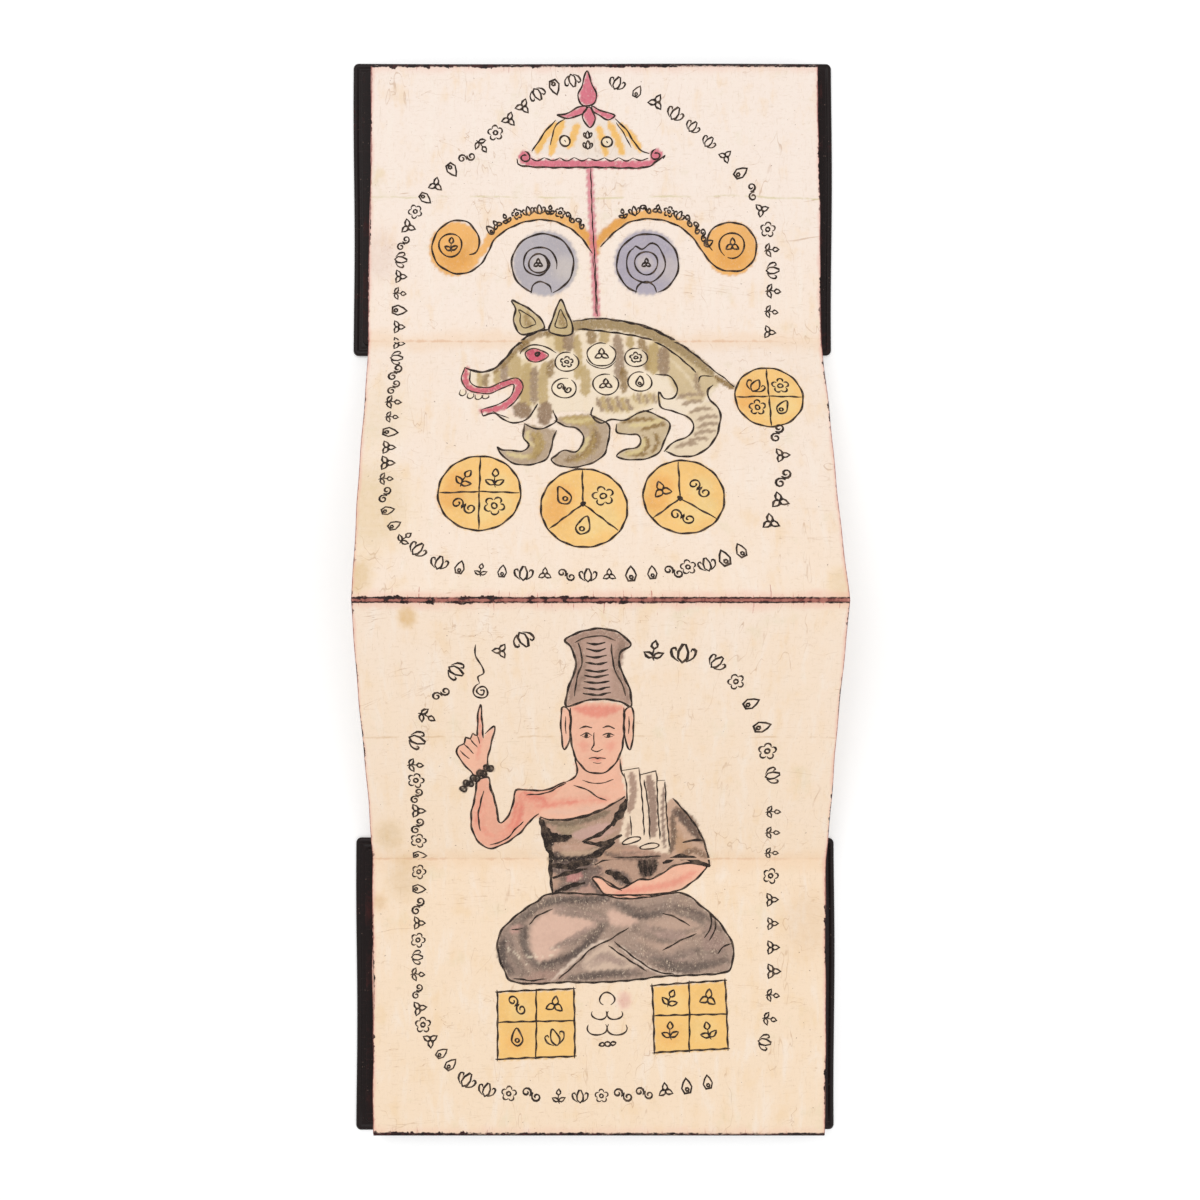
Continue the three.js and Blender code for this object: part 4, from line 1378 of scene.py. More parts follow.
def paint_paper(name, painted):
    """One face of the strip: hand-made paper, with the lacquer of its edges and outward folds.

    Every noise runs over the sheet's UV map, which is in metres along and across the strip.
    """
    f = Finish(name, Specular_IOR_Level=0.25)
    place = f.node("UVMap", {"uv_map": "sheet"}, out="UV")
    x, s, _ = f.axes(place)
    blots = f.noise(place, 26, 3)
    clouds = f.noise(place, 75, 3, 0.6)
    streaks = f.noise(f.stretched(place, (170, 45, 1)), 1, 4, 0.6, 0.4)
    grain = f.noise(place, 520, 4, 0.65)
    dust = f.noise(place, 1500, 2)
    chips = f.noise(place, 330, 4, 0.6)
    fibres = f.step(f.noise(f.stretched(place, (260, 1700, 1)), 1, 3, 0.5, 1.2), 0.60, 0.72)
    hairs = f.step(f.noise(f.stretched(place, (1500, 210, 1)), 1, 3, 0.5, 1.4), 0.60, 0.72)

    paper = f.mix(tint("paper_yellow"), tint("paper_pink"),
                  f.step(s + (blots - 0.5) * 0.22, -0.20, 0.26))
    paper = f.over(paper, (0.97, 0.83, 0.64), f.step(clouds + streaks, 1.02, 1.34) * 0.36)
    paper = f.over(paper, (1.0, 0.95, 0.90), f.step(streaks, 0.50, 0.26) * 0.5)
    paper = f.over(paper, (0.90, 0.85, 0.70), f.step(f.noise(place, 44, 4, 0.7), 0.56, 0.74) * 0.32)
    paper = f.over(paper, (0.82, 0.72, 0.60), (fibres * 0.24).most(hairs * 0.26))
    paper = f.over(paper, (0.86, 0.75, 0.63), f.step(grain, 0.52, 0.78) * 0.25)
    paper = f.over(paper, (0.50, 0.40, 0.34), f.step(f.noise(place, 640, 1), 0.75, 0.81) * 0.6)
    # Fine cracks, where a slow noise crosses its middle
    for scale, turn in (((15, 5, 1), 0.3), ((6, 21, 1), 0.7)):
        wander = abs(f.noise(f.stretched(place, scale), 1, 5, 0.62, turn) - 0.5)
        cracked = f.step(wander, 0.0022, 0.0) * f.step(clouds, 0.42, 0.62)
        paper = f.over(paper, (0.76, 0.60, 0.46), cracked * 0.5)

    # Distance to the side edges, and to the folds that turn outwards on this face
    edge = HALF_WIDTH - abs(x)
    shift = 0.5 if painted else 1.0
    turns = s * (0.5 / LEAF_DEPTH)
    fold = abs((turns + shift).part() - 0.5) * (2 * LEAF_DEPTH)
    inner_fold = abs((turns + 1.5 - shift).part() - 0.5) * (2 * LEAF_DEPTH)
    at_ridge = f.step(abs(s), 100 * MM, 80 * MM)
    crease = f.step(inner_fold + (chips - 0.5) * (2.6 * MM), 0.8 * MM, 0.0) * f.step(blots, 0.36, 0.56)
    paper = f.over(paper, (0.87, 0.67, 0.54), crease * 0.6)
    # Paper a little darker and warmer within about 7 mm of the inward folds
    valley_band = f.step(inner_fold + (clouds - 0.5) * (14 * MM), 7 * MM, 0.0)
    paper = f.over(paper, (0.97, 0.83, 0.68), valley_band * 0.4)
    # Lines where two sheets of paper are joined
    for join, tone in ((185.6 * MM, (0.84, 0.80, 0.60)), (-61.6 * MM, (0.86, 0.72, 0.56))):
        wander = (blots - 0.5) * (6 * MM) + (grain - 0.5) * MM
        line = f.step(abs(s - join + wander), 0.7 * MM, 0.0)
        paper = f.over(paper, tone, line * f.step(clouds, 0.42, 0.60) * 0.6)

    height = grain * 0.5 + dust * 0.2 + fibres * 0.35 - crease * 0.8
    if painted:
        wash = f.node("Attribute", {"attribute_name": "wash"}, out="Color")
        cover = Wire(f, wash.socket.node.outputs["Alpha"])
        # Dark washes are brushed on thick and dry, pale ones lie thin and even
        thick = f.step(f.node("RGBToBW", {}, {"Color": wash}), 0.46, 0.20)
        bristle = f.noise(f.stretched(place, (1100, 420, 1)), 1, 4, 0.65, 1.8)
        dry = f.step(f.noise(place, 900, 4, 0.7) + bristle, 1.03, 1.26)
        patchy = f.step(f.noise(place, 420, 4, 0.7, 0.8), 0.50, 0.62)
        pool = f.step(clouds + grain * 0.8, 0.80, 1.08)
        brim = f.step(cover, 0.10, 0.40) * f.step(cover, 0.86, 0.60)
        deep = f.over(wash, (0.20, 0.14, 0.11), 0.35)
        shade = f.mix(wash, deep, (pool * 0.2).most(brim * 0.45).most(patchy * thick * 0.85))
        ragged = cover + (chips - 0.5) * cover * (1 - cover) * 2.4
        gaps = thick * f.step(clouds + patchy * 0.2, 0.46, 0.70) * 0.55 + 0.18
        paper = f.mix(paper, shade, ragged * (1 - dry * gaps))

    # The outward folds: bleed and streaks of thinned lacquer, a rubbed band,
    # and clumps of dark lacquer beside it
    spikes = f.noise(f.stretched(place, (900, 60, 1)), 1, 3, 0.6)
    bleed = f.step(fold + (clouds - 0.5) * (8 * MM), 5 * MM, 0.5 * MM)
    paper = f.over(paper, (0.96, 0.74, 0.66), bleed * (0.3 + at_ridge * 0.2))
    length = f.step(spikes, 0.55, 0.82) * (4 * MM + at_ridge * (4 * MM))
    reach = f.step(fold - length, 1.2 * MM, 0.0) * (0.6 + at_ridge * 0.4)
    paper = f.over(paper, (0.76, 0.47, 0.42), reach * f.step(grain, 0.30, 0.55) * 0.75)
    band = f.step(fold + (chips - 0.5) * (1.6 * MM), 0.9 * MM, 0.5 * MM)
    paper = f.over(paper, (0.68, 0.41, 0.37), band * at_ridge * 0.9)
    paper = f.over(paper, (0.42, 0.20, 0.19),
                   band * at_ridge * f.step(streaks + chips, 0.98, 1.20) * 0.8)
    heap = f.step(x, 60 * MM, -80 * MM) * (1.0 * MM) + 0.2 * MM
    clump = f.step(f.noise(place, 170, 3, 0.6), 0.46, 0.70) * heap
    beside = abs(fold - 0.7 * MM + (grain - 0.5) * (1.0 * MM))
    lines = f.step(beside - clump * f.step(chips, 0.38, 0.54), 0.42 * MM, 0.1 * MM)
    flakes = lines * f.step(chips + blots, 0.76, 0.98)
    ragged_fold = fold + (chips - 0.5) * (1.2 * MM) - clump * 0.6
    worn_end = f.step(ragged_fold, 0.9 * MM, 0.5 * MM) * (1 - at_ridge)
    # The side edges: a thin maroon line with a few flecks, mostly beside the ridge and the outer corners
    tinge = f.step(edge + (clouds - 0.5) * (3 * MM), 1.7 * MM, 0.0)
    paper = f.over(paper, (0.94, 0.70, 0.64), tinge * 0.45)
    rim = f.step(edge + (chips - 0.5) * (1.0 * MM), 0.5 * MM, 0.1 * MM)
    paper = f.over(paper, (0.58, 0.26, 0.27), rim * 0.75)
    where = f.step(f.noise(place, 38, 2), 0.50, 0.60)
    flecks = f.step(edge + (chips - 0.5) * (4.2 * MM), 0.4 * MM, 0.1 * MM) * where
    lacquer = flakes.most(worn_end).most(flecks)
    dark = f.mix(tint("lacquer"), tint("lacquer_worn"), f.step(grain, 0.44, 0.60) * 0.9)
    paper = f.mix(paper, dark, lacquer)
    f.bump(height + lacquer * 0.8, 0.35, 0.18 * MM)
    return f.done(paper, 0.92 - lacquer * 0.38)


def paint_edges():
    """The cut edges of the leaves, lacquered when the book was closed."""
    f = Finish("lacquered_paper_edge", Specular_IOR_Level=0.4)
    place = f.node("TexCoord", out="Object")
    chips = f.noise(place, 420, 4, 0.6)
    streaks = f.noise(f.stretched(place, (120, 120, 3200)), 1, 2)
    worn = f.step(chips, 0.55, 0.68)
    colour = f.mix(tint("lacquer"), tint("lacquer_worn"), f.step(streaks, 0.4, 0.7))
    colour = f.over(colour, (0.70, 0.52, 0.46), worn * 0.5)
    f.bump(chips + streaks * 0.4, 0.4, 0.2 * MM)
    return f.done(colour, 0.5 + worn * 0.3)


def paint_lacquer(name, worn_share, gloss):
    """Old black lacquer over a maroon ground, scratched and rubbed."""
    f = Finish(name, Specular_IOR_Level=0.22)
    place = f.node("TexCoord", out="Object")
    clouds = f.noise(place, 48, 4, 0.6)
    chips = f.noise(place, 520, 4, 0.65)
    scratches = f.noise(f.stretched(place, (140, 2600, 900)), 1, 3, 0.6, 0.3)
    rub = f.step(clouds + (chips - 0.5) * 0.5, 0.62 - worn_share, 0.78)
    colour = f.mix(tint("lacquer"), tint("lacquer_worn"), rub * 0.9)
    colour = f.over(colour, (0.30, 0.22, 0.21), f.step(scratches, 0.60, 0.72) * 0.35)
    colour = f.over(colour, (0.58, 0.47, 0.42), f.step(f.noise(place, 950, 2), 0.70, 0.76) * 0.5)
    f.bump(clouds * 2 + chips * 0.35 + scratches * 0.35, 0.4, 0.3 * MM)
    return f.done(colour, gloss + rub * 0.18 + scratches * 0.16)


def paint_ink():
    f = Finish("brush_ink", Specular_IOR_Level=0.2)
    place = f.node("TexCoord", out="Object")
    thin = f.step(f.noise(place, 320, 3, 0.6), 0.46, 0.70)
    dry = f.step(f.noise(place, 1900, 2), 0.58, 0.70)
    colour = f.over(tint("ink"), (0.46, 0.38, 0.32), thin * 0.6)
    colour = f.over(colour, (0.70, 0.60, 0.50), dry * 0.35)
    f.bump(thin, 0.15, 0.1 * MM)
    return f.done(colour, 0.84)


MADE = {}


def material(name, make, *details):
    """A material made once and shared."""
    if name not in MADE:
        MADE[name] = make(*details)
    return MADE[name]


def paper_materials():
    return (
        material("front", paint_paper, "painted_face", True),
        material("back", paint_paper, "plain_face", False),
        material("edge", paint_edges),
    )


# Covers


def rounded_ring(half_x, half_y, corner, step=3 * MM):
    """A rectangle with round corners, sampled the same way whatever its size."""
    points = []
    across, deep = int(HALF_WIDTH * 2 / step), int(LEAF_DEPTH / step)
    for turn, count in ((0, across), (90, deep), (180, across), (270, deep)):
        centre_x = (half_x - corner) * (1 if turn in (0, 270) else -1)
        centre_y = (half_y - corner) * (1 if turn in (0, 90) else -1)
        arc = round_line(corner, turn, turn + 90, steps=7) + (centre_x, centre_y)
        points.extend(arc)
        run = {0: (-1, 0), 90: (0, -1), 180: (1, 0), 270: (0, 1)}[turn]
        length = 2 * ((half_x if run[0] else half_y) - corner)
        points.extend(arc[-1] + np.array(run) * length * i / count for i in range(1, count))
    return np.array(points)


LEAST_CORNER = 0.4 * MM
SWAY_REACH = 20 * MM  # a plate's unevenness fades out over this distance from its edge


def slab(name, low, high, profile, corner, finish, sway):
    """A plate whose edge follows a profile of (inset, height) pairs, from underneath to the top."""
    middle = (np.array(low) + np.array(high)) / 2
    half = (np.array(high) - np.array(low)) / 2
    bm = bmesh.new()
    rings = []
    for inset, level in profile:
        outline = rounded_ring(
            half[0] - inset, half[1] - inset, max(corner - inset, LEAST_CORNER)
        )
        x, y = outline.T
        at_edge = soft_step(SWAY_REACH - inset, 0, 0.9 * SWAY_REACH)
        pull = 1 - sway * at_edge * (0.5 + 0.5 * np.sin(37 * x + 51 * y)) / half[1]
        sunk = abs(sway * 0.5 * np.sin(23 * x - 31 * y)) * (level > low[2] + LEAST_CORNER)
        places = zip(middle[0] + x * pull, middle[1] + y * pull, level - sunk)
        rings.append([bm.verts.new(place) for place in places])
    skin(bm, rings)
    bmesh.ops.recalc_face_normals(bm, faces=bm.faces)
    mesh = mesh_from(bm, name)
    mesh.polygons.foreach_set("use_smooth", np.ones(len(mesh.polygons), bool))
    mesh.set_sharp_from_angle(angle=LACQUER_CREASE)
    mesh.materials.append(finish)
    return add_object(name, mesh)


# Edges from underneath to the top, as an inset and a level in millimetres. The lining's levels are
# shares of its thickness.
BOARD_EDGE = ((40, 0), (2, 0), (0.9, 0.12), (0.25, 0.5), (0, 1.1), (0.2, 1.65), (0.7, 2.05), (1.3, 2.2),
              (1.9, 2.08), (2.4, 1.8), (2.8, 1.62), (3.2, 1.68), (3.6, 1.86), (4.4, 1.9), (12, 1.9),
              (60, 1.9))
LINING_EDGE = ((60, 0), (0.3, 0), (0, 0.25), (0, 0.7), (0.25, 0.93), (0.7, 1.0), (1.4, 0.97), (30, 0.97),
               (60, 0.97))
LINING_FOOT = 1.95 * MM  # the lining starts a little inside the board's face
BOARD_CORNER, BOARD_SWAY = 2.4 * MM, 0.3 * MM
LINING_CORNER, LINING_SWAY = 2.2 * MM, 0.25 * MM


def make_cover(stack):
    board, lining = f"{stack}_cover_board", f"{stack}_cover_lining"
    low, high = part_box(board)
    profile = [(inset * MM, level * MM) for inset, level in BOARD_EDGE]
    finish = material("board", paint_lacquer, "board_lacquer", 0.02, 0.34)
    piece = slab(f"{stack}_board", low, high, profile, BOARD_CORNER, finish, BOARD_SWAY)
    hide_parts(board)
    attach(piece, f"{stack}_cover")
    low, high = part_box(lining)
    height = high.z - LINING_FOOT
    profile = [(inset * MM, LINING_FOOT + share * height) for inset, share in LINING_EDGE]
    finish = material("lining", paint_lacquer, "lining_lacquer", 0.16, 0.46)
    piece = slab(f"{stack}_lining", low, high, profile, LINING_CORNER, finish, LINING_SWAY)
    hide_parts(lining)
    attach(piece, f"{stack}_cover")


# Ink on the leaves


def lay_ink(flat, name):
    """Cuts flat strokes at the folds and lays each part on its leaf, as a piece of its own."""
    for stack in SIDES:
        for leaf in (LEAVES[stack, 0], LEAVES[stack, 1]):
            first = (leaf.number * LEAF_DEPTH + INK_STOP) / MM
            last = ((leaf.number + 1) * LEAF_DEPTH - INK_STOP) / MM
            bm = flat.copy()
            for limit, way in ((first, -1), (last, 1)):
                cut = bmesh.ops.bisect_plane(
                    bm,
                    geom=[*bm.verts, *bm.edges, *bm.faces],
                    plane_co=(0, leaf.side * limit, 0),
                    plane_no=(0, leaf.side * way, 0),
                    clear_outer=True,
                )
                rim = [part for part in cut["geom_cut"] if isinstance(part, bmesh.types.BMEdge)]
                bmesh.ops.holes_fill(bm, edges=rim, sides=0)
            if not bm.faces:
                bm.free()
                continue
            flat_points = np.array([v.co for v in bm.verts]) * MM
            t = abs(flat_points[:, 1]) - leaf.number * LEAF_DEPTH
            for vertex, point in zip(bm.verts, leaf.place(flat_points[:, 0], t, flat_points[:, 2])):
                vertex.co = point
            bmesh.ops.recalc_face_normals(bm, faces=bm.faces)
            piece_name = f"{leaf.node}_{name}"
            mesh = mesh_from(bm, piece_name)
            mesh.materials.append(material("ink", paint_ink))
            piece = add_object(piece_name, mesh)
            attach(piece, leaf.body)


CURL_STROKE, CURL_WOBBLE = 0.82, 0.06
SHORT_CURL = 12  # lines of fewer points keep them all
UNEVENNESS = 0.12  # how much the curls differ in size

# Borders of curls: paths on the strip, with the spacing and size of the curls
BORDERS = (
    ([(-10, 237), (-24, 232), (-36, 222), (-50, 209), (-64, 198)], 7.8, 1.15),
    ([(-71, 191), (-77.5, 183), (-83, 173), (-86, 155), (-87, 120), (-88, 85), (-88.5, 48), (-84, 32),
      (-74, 22)], 7.2, 1.12),
    ([(-65, 16), (-55, 13.3), (-25, 11), (8, 10.5), (30, 12)], 8.4, 1.1),
    ([(36, 14), (47, 16), (58, 21)], 7.4, 1.2),
    ([(10, 236), (25, 229), (40, 220), (51, 210), (62, 200), (70, 188)], 8.8, 1.15),
    ([(74, 180), (77.5, 168), (79, 150), (78, 134), (77, 126)], 9.0, 1.1),
    ([(77, 76), (78, 62), (77, 48), (71, 34)], 10.5, 1.25),
    ([(-31, -17), (-40.5, -22)], 9.0, 1.3),
    ([(-59, -31), (-66, -42), (-73, -53), (-77, -63)], 11.5, 1.25),
    ([(-78.7, -75), (-79, -95), (-79.5, -122), (-80, -150), (-80.5, -182), (-77, -198), (-70, -208)],
     7.2, 1.12),
    ([(-66, -213), (-58, -220), (-46, -225), (-30, -226)], 8.0, 1.25),
    ([(-18, -227), (6, -226.5), (28, -224.5), (48, -221)], 9.4, 1.15),
    ([(22, -22), (34, -23)], 9.5, 1.6),
    ([(48, -27), (58, -38), (66, -52), (70, -64), (74, -80)], 11.5, 1.3),
    ([(75, -98), (75.5, -118), (76, -142), (76.5, -166), (76, -186), (73, -203)], 10.5, 1.15),
)


def build_border_tree(curls):
    """Sets curls along a path, turned with it and each a little different."""
    tree = bpy.data.node_groups.new("curl_border", "GeometryNodeTree")
    face = tree.interface
    inputs = (
        ("Path", "NodeSocketGeometry", None),
        ("Spacing", "NodeSocketFloat", 8.0),
        ("Size", "NodeSocketFloat", 1.0),
        ("Unevenness", "NodeSocketFloat", UNEVENNESS),
        ("Seed", "NodeSocketInt", 1),
        ("Ink", "NodeSocketMaterial", None),
    )
    for name, kind, default in inputs:
        socket = face.new_socket(name, in_out="INPUT", socket_type=kind)
        if default is not None:
            socket.default_value = default
    face.new_socket("Border", in_out="OUTPUT", socket_type="NodeSocketGeometry")

    def node(kind, settings=None, values=None):
        made = tree.nodes.new(kind)
        for name, value in (settings or {}).items():
            setattr(made, name, value)
        for name, value in (values or {}).items():
            if isinstance(name, str):
                socket = next(s for s in made.inputs if s.name == name and s.enabled)
            else:
                socket = made.inputs[name]
            if isinstance(value, bpy.types.NodeSocket):
                tree.links.new(value, socket)
            else:
                socket.default_value = value
        return made

    def result(made, name=None):
        return next(s for s in made.outputs if s.enabled and name in (None, s.name))

    given = node("NodeGroupInput").outputs
    line = node("GeometryNodeMeshToCurve", {}, {"Mesh": given["Path"]})
    points = node(
        "GeometryNodeResampleCurve",
        {"mode": "LENGTH"},
        {"Curve": result(line), "Length": given["Spacing"]},
    )
    ahead = node("GeometryNodeInputTangent")
    turned = node(
        "FunctionNodeAlignRotationToVector",
        {"axis": "X", "pivot_axis": "Z"},
        {"Vector": result(ahead)},
    )
    smallest = node("ShaderNodeMath", {"operation": "SUBTRACT"}, {0: 1.0, 1: given["Unevenness"]})
    largest = node("ShaderNodeMath", {"operation": "ADD"}, {0: 1.0, 1: given["Unevenness"]})
    share = node(
        "FunctionNodeRandomValue",
        {"data_type": "FLOAT"},
        {"Min": result(smallest), "Max": result(largest), "Seed": given["Seed"]},
    )
    size = node("ShaderNodeMath", {"operation": "MULTIPLY"}, {0: result(share), 1: given["Size"]})
    choice = node(
        "FunctionNodeRandomValue",
        {"data_type": "INT"},
        {"Min": 0, "Max": len(CURLS) - 1, "Seed": given["Seed"]},
    )
    shapes = node(
        "GeometryNodeCollectionInfo",
        {},
        {"Collection": curls, "Separate Children": True, "Reset Children": True},
    )
    placed = node("GeometryNodeInstanceOnPoints", {}, {
        "Points": result(points), "Instance": result(shapes), "Pick Instance": True,
        "Instance Index": result(choice), "Rotation": result(turned), "Scale": result(size),
    })
    real = node("GeometryNodeRealizeInstances", {}, {"Geometry": result(placed)})
    inked = node("GeometryNodeSetMaterial", {}, {"Geometry": result(real), "Material": given["Ink"]})
    tree.links.new(result(inked), node("NodeGroupOutput").inputs[0])
    return tree


def grow_borders():
    """The borders as one flat mesh, in millimetres on the strip."""
    curls = bpy.data.collections.new("curls")
    shapes = []
    for i, draw in enumerate(CURLS):
        sample = Pages(seed=i)
        draw(sample.at())
        bm = bmesh.new()
        for path, width, closed in sample.strokes:
            # Every second point is enough, but an open line keeps its last
            keep = path[:: 1 if len(path) < SHORT_CURL else 2]
            if not closed and not np.allclose(keep[-1], path[-1]):
                keep = np.vstack([keep, path[-1:]])
            ribbon(bm, keep, CURL_STROKE, closed, sample.chance, CURL_WOBBLE)
        shape = bpy.data.objects.new(f"curl_{i}", mesh_from(bm, f"curl_{i}"))
        curls.objects.link(shape)
        shapes.append(shape)
    tree = build_border_tree(curls)
    names = {item.name: item.identifier for item in tree.interface.items_tree if item.in_out == "INPUT"}
    flat = bmesh.new()
    for number, (path, spacing, size) in enumerate(BORDERS):
        line = soft_curve(path, step=1.5)
        mesh = bpy.data.meshes.new("border_path")
        mesh.from_pydata([(x, s, 0) for x, s in line], [(i, i + 1) for i in range(len(line) - 1)], [])
        path_object = add_object("border_path", mesh)
        modifier = path_object.modifiers.new("border", "NODES")
        modifier.node_group = tree
        given = {
            "Spacing": spacing * looks().curl_spacing,
            "Size": size * looks().curl_size,
            "Unevenness": UNEVENNESS,
            "Seed": looks().seed + number,
            "Ink": material("ink", paint_ink),
        }
        for name, value in given.items():
            modifier[names[name]] = value
        ready = path_object.evaluated_get(bpy.context.evaluated_depsgraph_get())
        border = bpy.data.meshes.new_from_object(ready)
        flat.from_mesh(border)
        bpy.data.objects.remove(path_object)
        bpy.data.meshes.remove(border)
    for shape in shapes:
        bpy.data.objects.remove(shape)
    bpy.data.collections.remove(curls)
    return flat


# The add-on


def colour_choice(name, description, default):
    return FloatVectorProperty(
        name=name, description=description, subtype="COLOR", default=default, min=0, max=1
    )


class ManuscriptLooks(bpy.types.PropertyGroup):
    """What a user would change."""

    paper_pink: colour_choice("Fresh paper", "Paper of the far end", (0.995, 0.932, 0.884))
    paper_yellow: colour_choice("Toned paper", "Paper of the near end", (0.995, 0.897, 0.786))
    lacquer: colour_choice("Lacquer", "Lacquer of covers and edges", (0.104, 0.055, 0.052))
    lacquer_worn: colour_choice(
        "Ground", "Maroon ground that shows where the lacquer is rubbed", (0.27, 0.13, 0.125)
    )
    ink: colour_choice("Ink", "Ink of the drawings and curls", (0.19, 0.155, 0.14))
    curl_size: FloatProperty(
        name="Curl size", description="Size of the curls in the borders", default=1.0, min=0.5, max=1.5
    )
    curl_spacing: FloatProperty(
        name="Curl spacing", description="Room between the curls", default=1.0, min=0.6, max=3
    )
    seed: IntProperty(name="Seed", description="Order of the curls", default=5, min=0)
    camera_height: FloatProperty(
        name="Camera height",
        description="Height of the camera over the table",
        subtype="DISTANCE",
        unit="LENGTH",
        default=0.4835,
        min=0.2,
        max=3,
    )


class MANUSCRIPT_OT_leaves(bpy.types.Operator):
    """Make the paper of every leaf"""

    bl_idname = "manuscript.leaves"
    bl_label = "Leaves"

    def execute(self, context):
        for leaf in LEAVES.values():
            make_leaf(leaf)
        return {"FINISHED"}


class MANUSCRIPT_OT_folds(bpy.types.Operator):
    """Make the paper that runs round every fold"""

    bl_idname = "manuscript.folds"
    bl_label = "Folds"

    def execute(self, context):
        Fold("far", 0).make()
        for stack in SIDES:
            for number in range(1, STACK_LEAVES + 1):
                Fold(stack, number).make()
        return {"FINISHED"}


class MANUSCRIPT_OT_covers(bpy.types.Operator):
    """Make both lacquered boards and their linings"""

    bl_idname = "manuscript.covers"
    bl_label = "Covers"

    def execute(self, context):
        for stack in SIDES:
            make_cover(stack)
        return {"FINISHED"}


class MANUSCRIPT_OT_drawings(bpy.types.Operator):
    """Lay the inked lines of the painted figures on the leaves"""

    bl_idname = "manuscript.drawings"
    bl_label = "Drawings"

    def execute(self, context):
        flat = bmesh.new()
        for path, width, closed in PAGES.strokes:
            ribbon(flat, path, width, closed, PAGES.chance)
        lay_ink(flat, "drawing")
        flat.free()
        return {"FINISHED"}


class MANUSCRIPT_OT_borders(bpy.types.Operator):
    """Lay the borders of curls on the leaves"""

    bl_idname = "manuscript.borders"
    bl_label = "Borders"

    def execute(self, context):
        flat = grow_borders()
        lay_ink(flat, "border")
        flat.free()
        return {"FINISHED"}


WHITE, BLACKNESS = (1, 1, 1), (0, 0, 0)
TABLE_REACH = 4.0
TABLE_GLOW, SKY_LIGHT = 0.24, 0.66
LAMPS = (  # name, place, size, watts
    ("key", (-0.45, 0.55, 1.35), 0.9, 5.3),
    ("fill", (0.6, -0.5, 1.25), 1.1, 3.4),
)
SENSOR, LENS = 36.0, 32.07  # millimetres


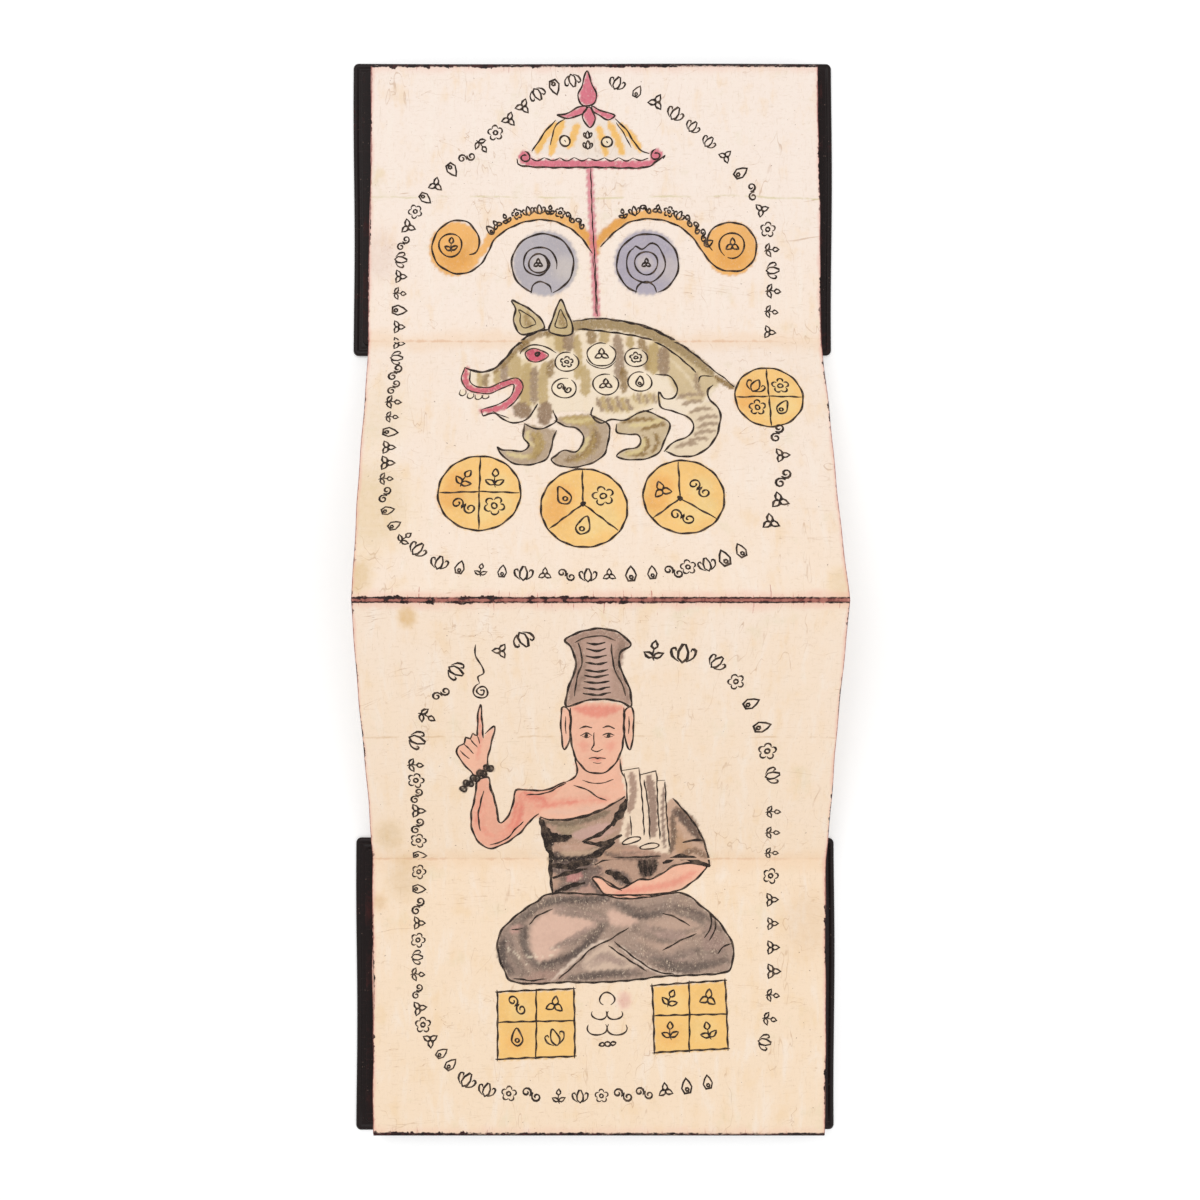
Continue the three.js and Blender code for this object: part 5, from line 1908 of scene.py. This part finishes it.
class MANUSCRIPT_OT_stage(bpy.types.Operator):
    """Set up the table, the light and the camera"""

    bl_idname = "manuscript.stage"
    bl_label = "Stage"

    def execute(self, context):
        scene = context.scene
        mesh = bpy.data.meshes.new("table")
        square = ((-1, -1), (1, -1), (1, 1), (-1, 1))
        outline = [(x * TABLE_REACH, y * TABLE_REACH, 0) for x, y in square]
        mesh.from_pydata(outline, [], [(0, 1, 2, 3)])
        f = Finish("table_white", Roughness=0.9, Specular_IOR_Level=0.1)
        rays = f.node("LightPath", out="Is Camera Ray")
        others = rays.socket.node.outputs
        seen = rays.most(Wire(f, others["Is Glossy Ray"])).most(Wire(f, others["Is Transmission Ray"]))
        f.feed(f.shader.inputs["Base Color"], (0.92, 0.92, 0.92))
        glow = f.node("Emission", {}, {"Color": WHITE, "Strength": TABLE_GLOW})
        dark = f.node("Emission", {}, {"Color": BLACKNESS, "Strength": 0.0})
        lit = f.node("MixShader", {}, {0: seen, 1: dark, 2: glow})
        both = f.node("AddShader", {}, {0: Wire(f, f.shader.outputs[0]), 1: lit})
        output = next(n for n in f.tree.nodes if n.type == "OUTPUT_MATERIAL")
        f.tree.links.new(both.socket, output.inputs["Surface"])
        mesh.materials.append(f.material)
        table = add_object("table", mesh)
        table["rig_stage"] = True

        world = bpy.data.worlds.new("studio")
        scene.world = world
        world.use_nodes = True
        nodes, links = world.node_tree.nodes, world.node_tree.links
        pale, output = nodes["Background"], nodes["World Output"]
        kinds = ("Background", "LightPath", "MixShader")
        white, sight, chosen = (nodes.new("ShaderNode" + kind) for kind in kinds)
        for background, strength in ((pale, SKY_LIGHT), (white, 1.0)):
            background.inputs["Color"].default_value = (*WHITE, 1)
            background.inputs["Strength"].default_value = strength
        links.new(sight.outputs["Is Camera Ray"], chosen.inputs[0])
        links.new(pale.outputs[0], chosen.inputs[1])
        links.new(white.outputs[0], chosen.inputs[2])
        links.new(chosen.outputs[0], output.inputs["Surface"])
        for name, place, size, watts in LAMPS:
            light = bpy.data.lights.new(name, "AREA")
            light.size, light.energy = size, watts
            lamp = bpy.data.objects.new(name, light)
            lamp.location = place
            lamp.rotation_mode = "QUATERNION"
            lamp.rotation_quaternion = (-lamp.location).to_track_quat("-Z", "Y")
            scene.collection.objects.link(lamp)

        camera = bpy.data.cameras.new("camera")
        camera.sensor_width, camera.lens = SENSOR, LENS
        camera.clip_start, camera.clip_end = 0.01, 20
        eye = bpy.data.objects.new("camera", camera)
        eye.location = (RIDGE_MIDDLE, AXES["ridge_fold"][1], looks().camera_height)
        scene.collection.objects.link(eye)
        scene.camera = eye
        scene.view_settings.view_transform = "Standard"
        return {"FINISHED"}


class MANUSCRIPT_PT_panel(bpy.types.Panel):
    """The manuscript's pieces and looks"""

    bl_label = "Folding manuscript"
    bl_idname = "MANUSCRIPT_PT_panel"
    bl_space_type = "VIEW_3D"
    bl_region_type = "UI"
    bl_category = "Manuscript"

    def draw(self, context):
        for name in ManuscriptLooks.__annotations__:
            self.layout.prop(context.scene.manuscript, name)
        for step in STEPS:
            self.layout.operator(step.bl_idname)


STEPS = (
    MANUSCRIPT_OT_stage,
    MANUSCRIPT_OT_covers,
    MANUSCRIPT_OT_leaves,
    MANUSCRIPT_OT_folds,
    MANUSCRIPT_OT_drawings,
    MANUSCRIPT_OT_borders,
)
CLASSES = (ManuscriptLooks, *STEPS, MANUSCRIPT_PT_panel)


def register():
    for cls in CLASSES:
        bpy.utils.register_class(cls)
    bpy.types.Scene.manuscript = PointerProperty(type=ManuscriptLooks)


def unregister():
    del bpy.types.Scene.manuscript
    for cls in reversed(CLASSES):
        bpy.utils.unregister_class(cls)


def corners(box):
    return [[float(value) for value in corner] for corner in box]


def main():
    register()
    bpy.ops.manuscript.stage()
    bpy.ops.manuscript.covers()
    bpy.ops.manuscript.leaves()
    bpy.ops.manuscript.folds()
    bpy.ops.manuscript.drawings()
    bpy.ops.manuscript.borders()
    {"cad": corners(cad_box), "visual": corners(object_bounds())}


if __name__ == "__main__":
    main()
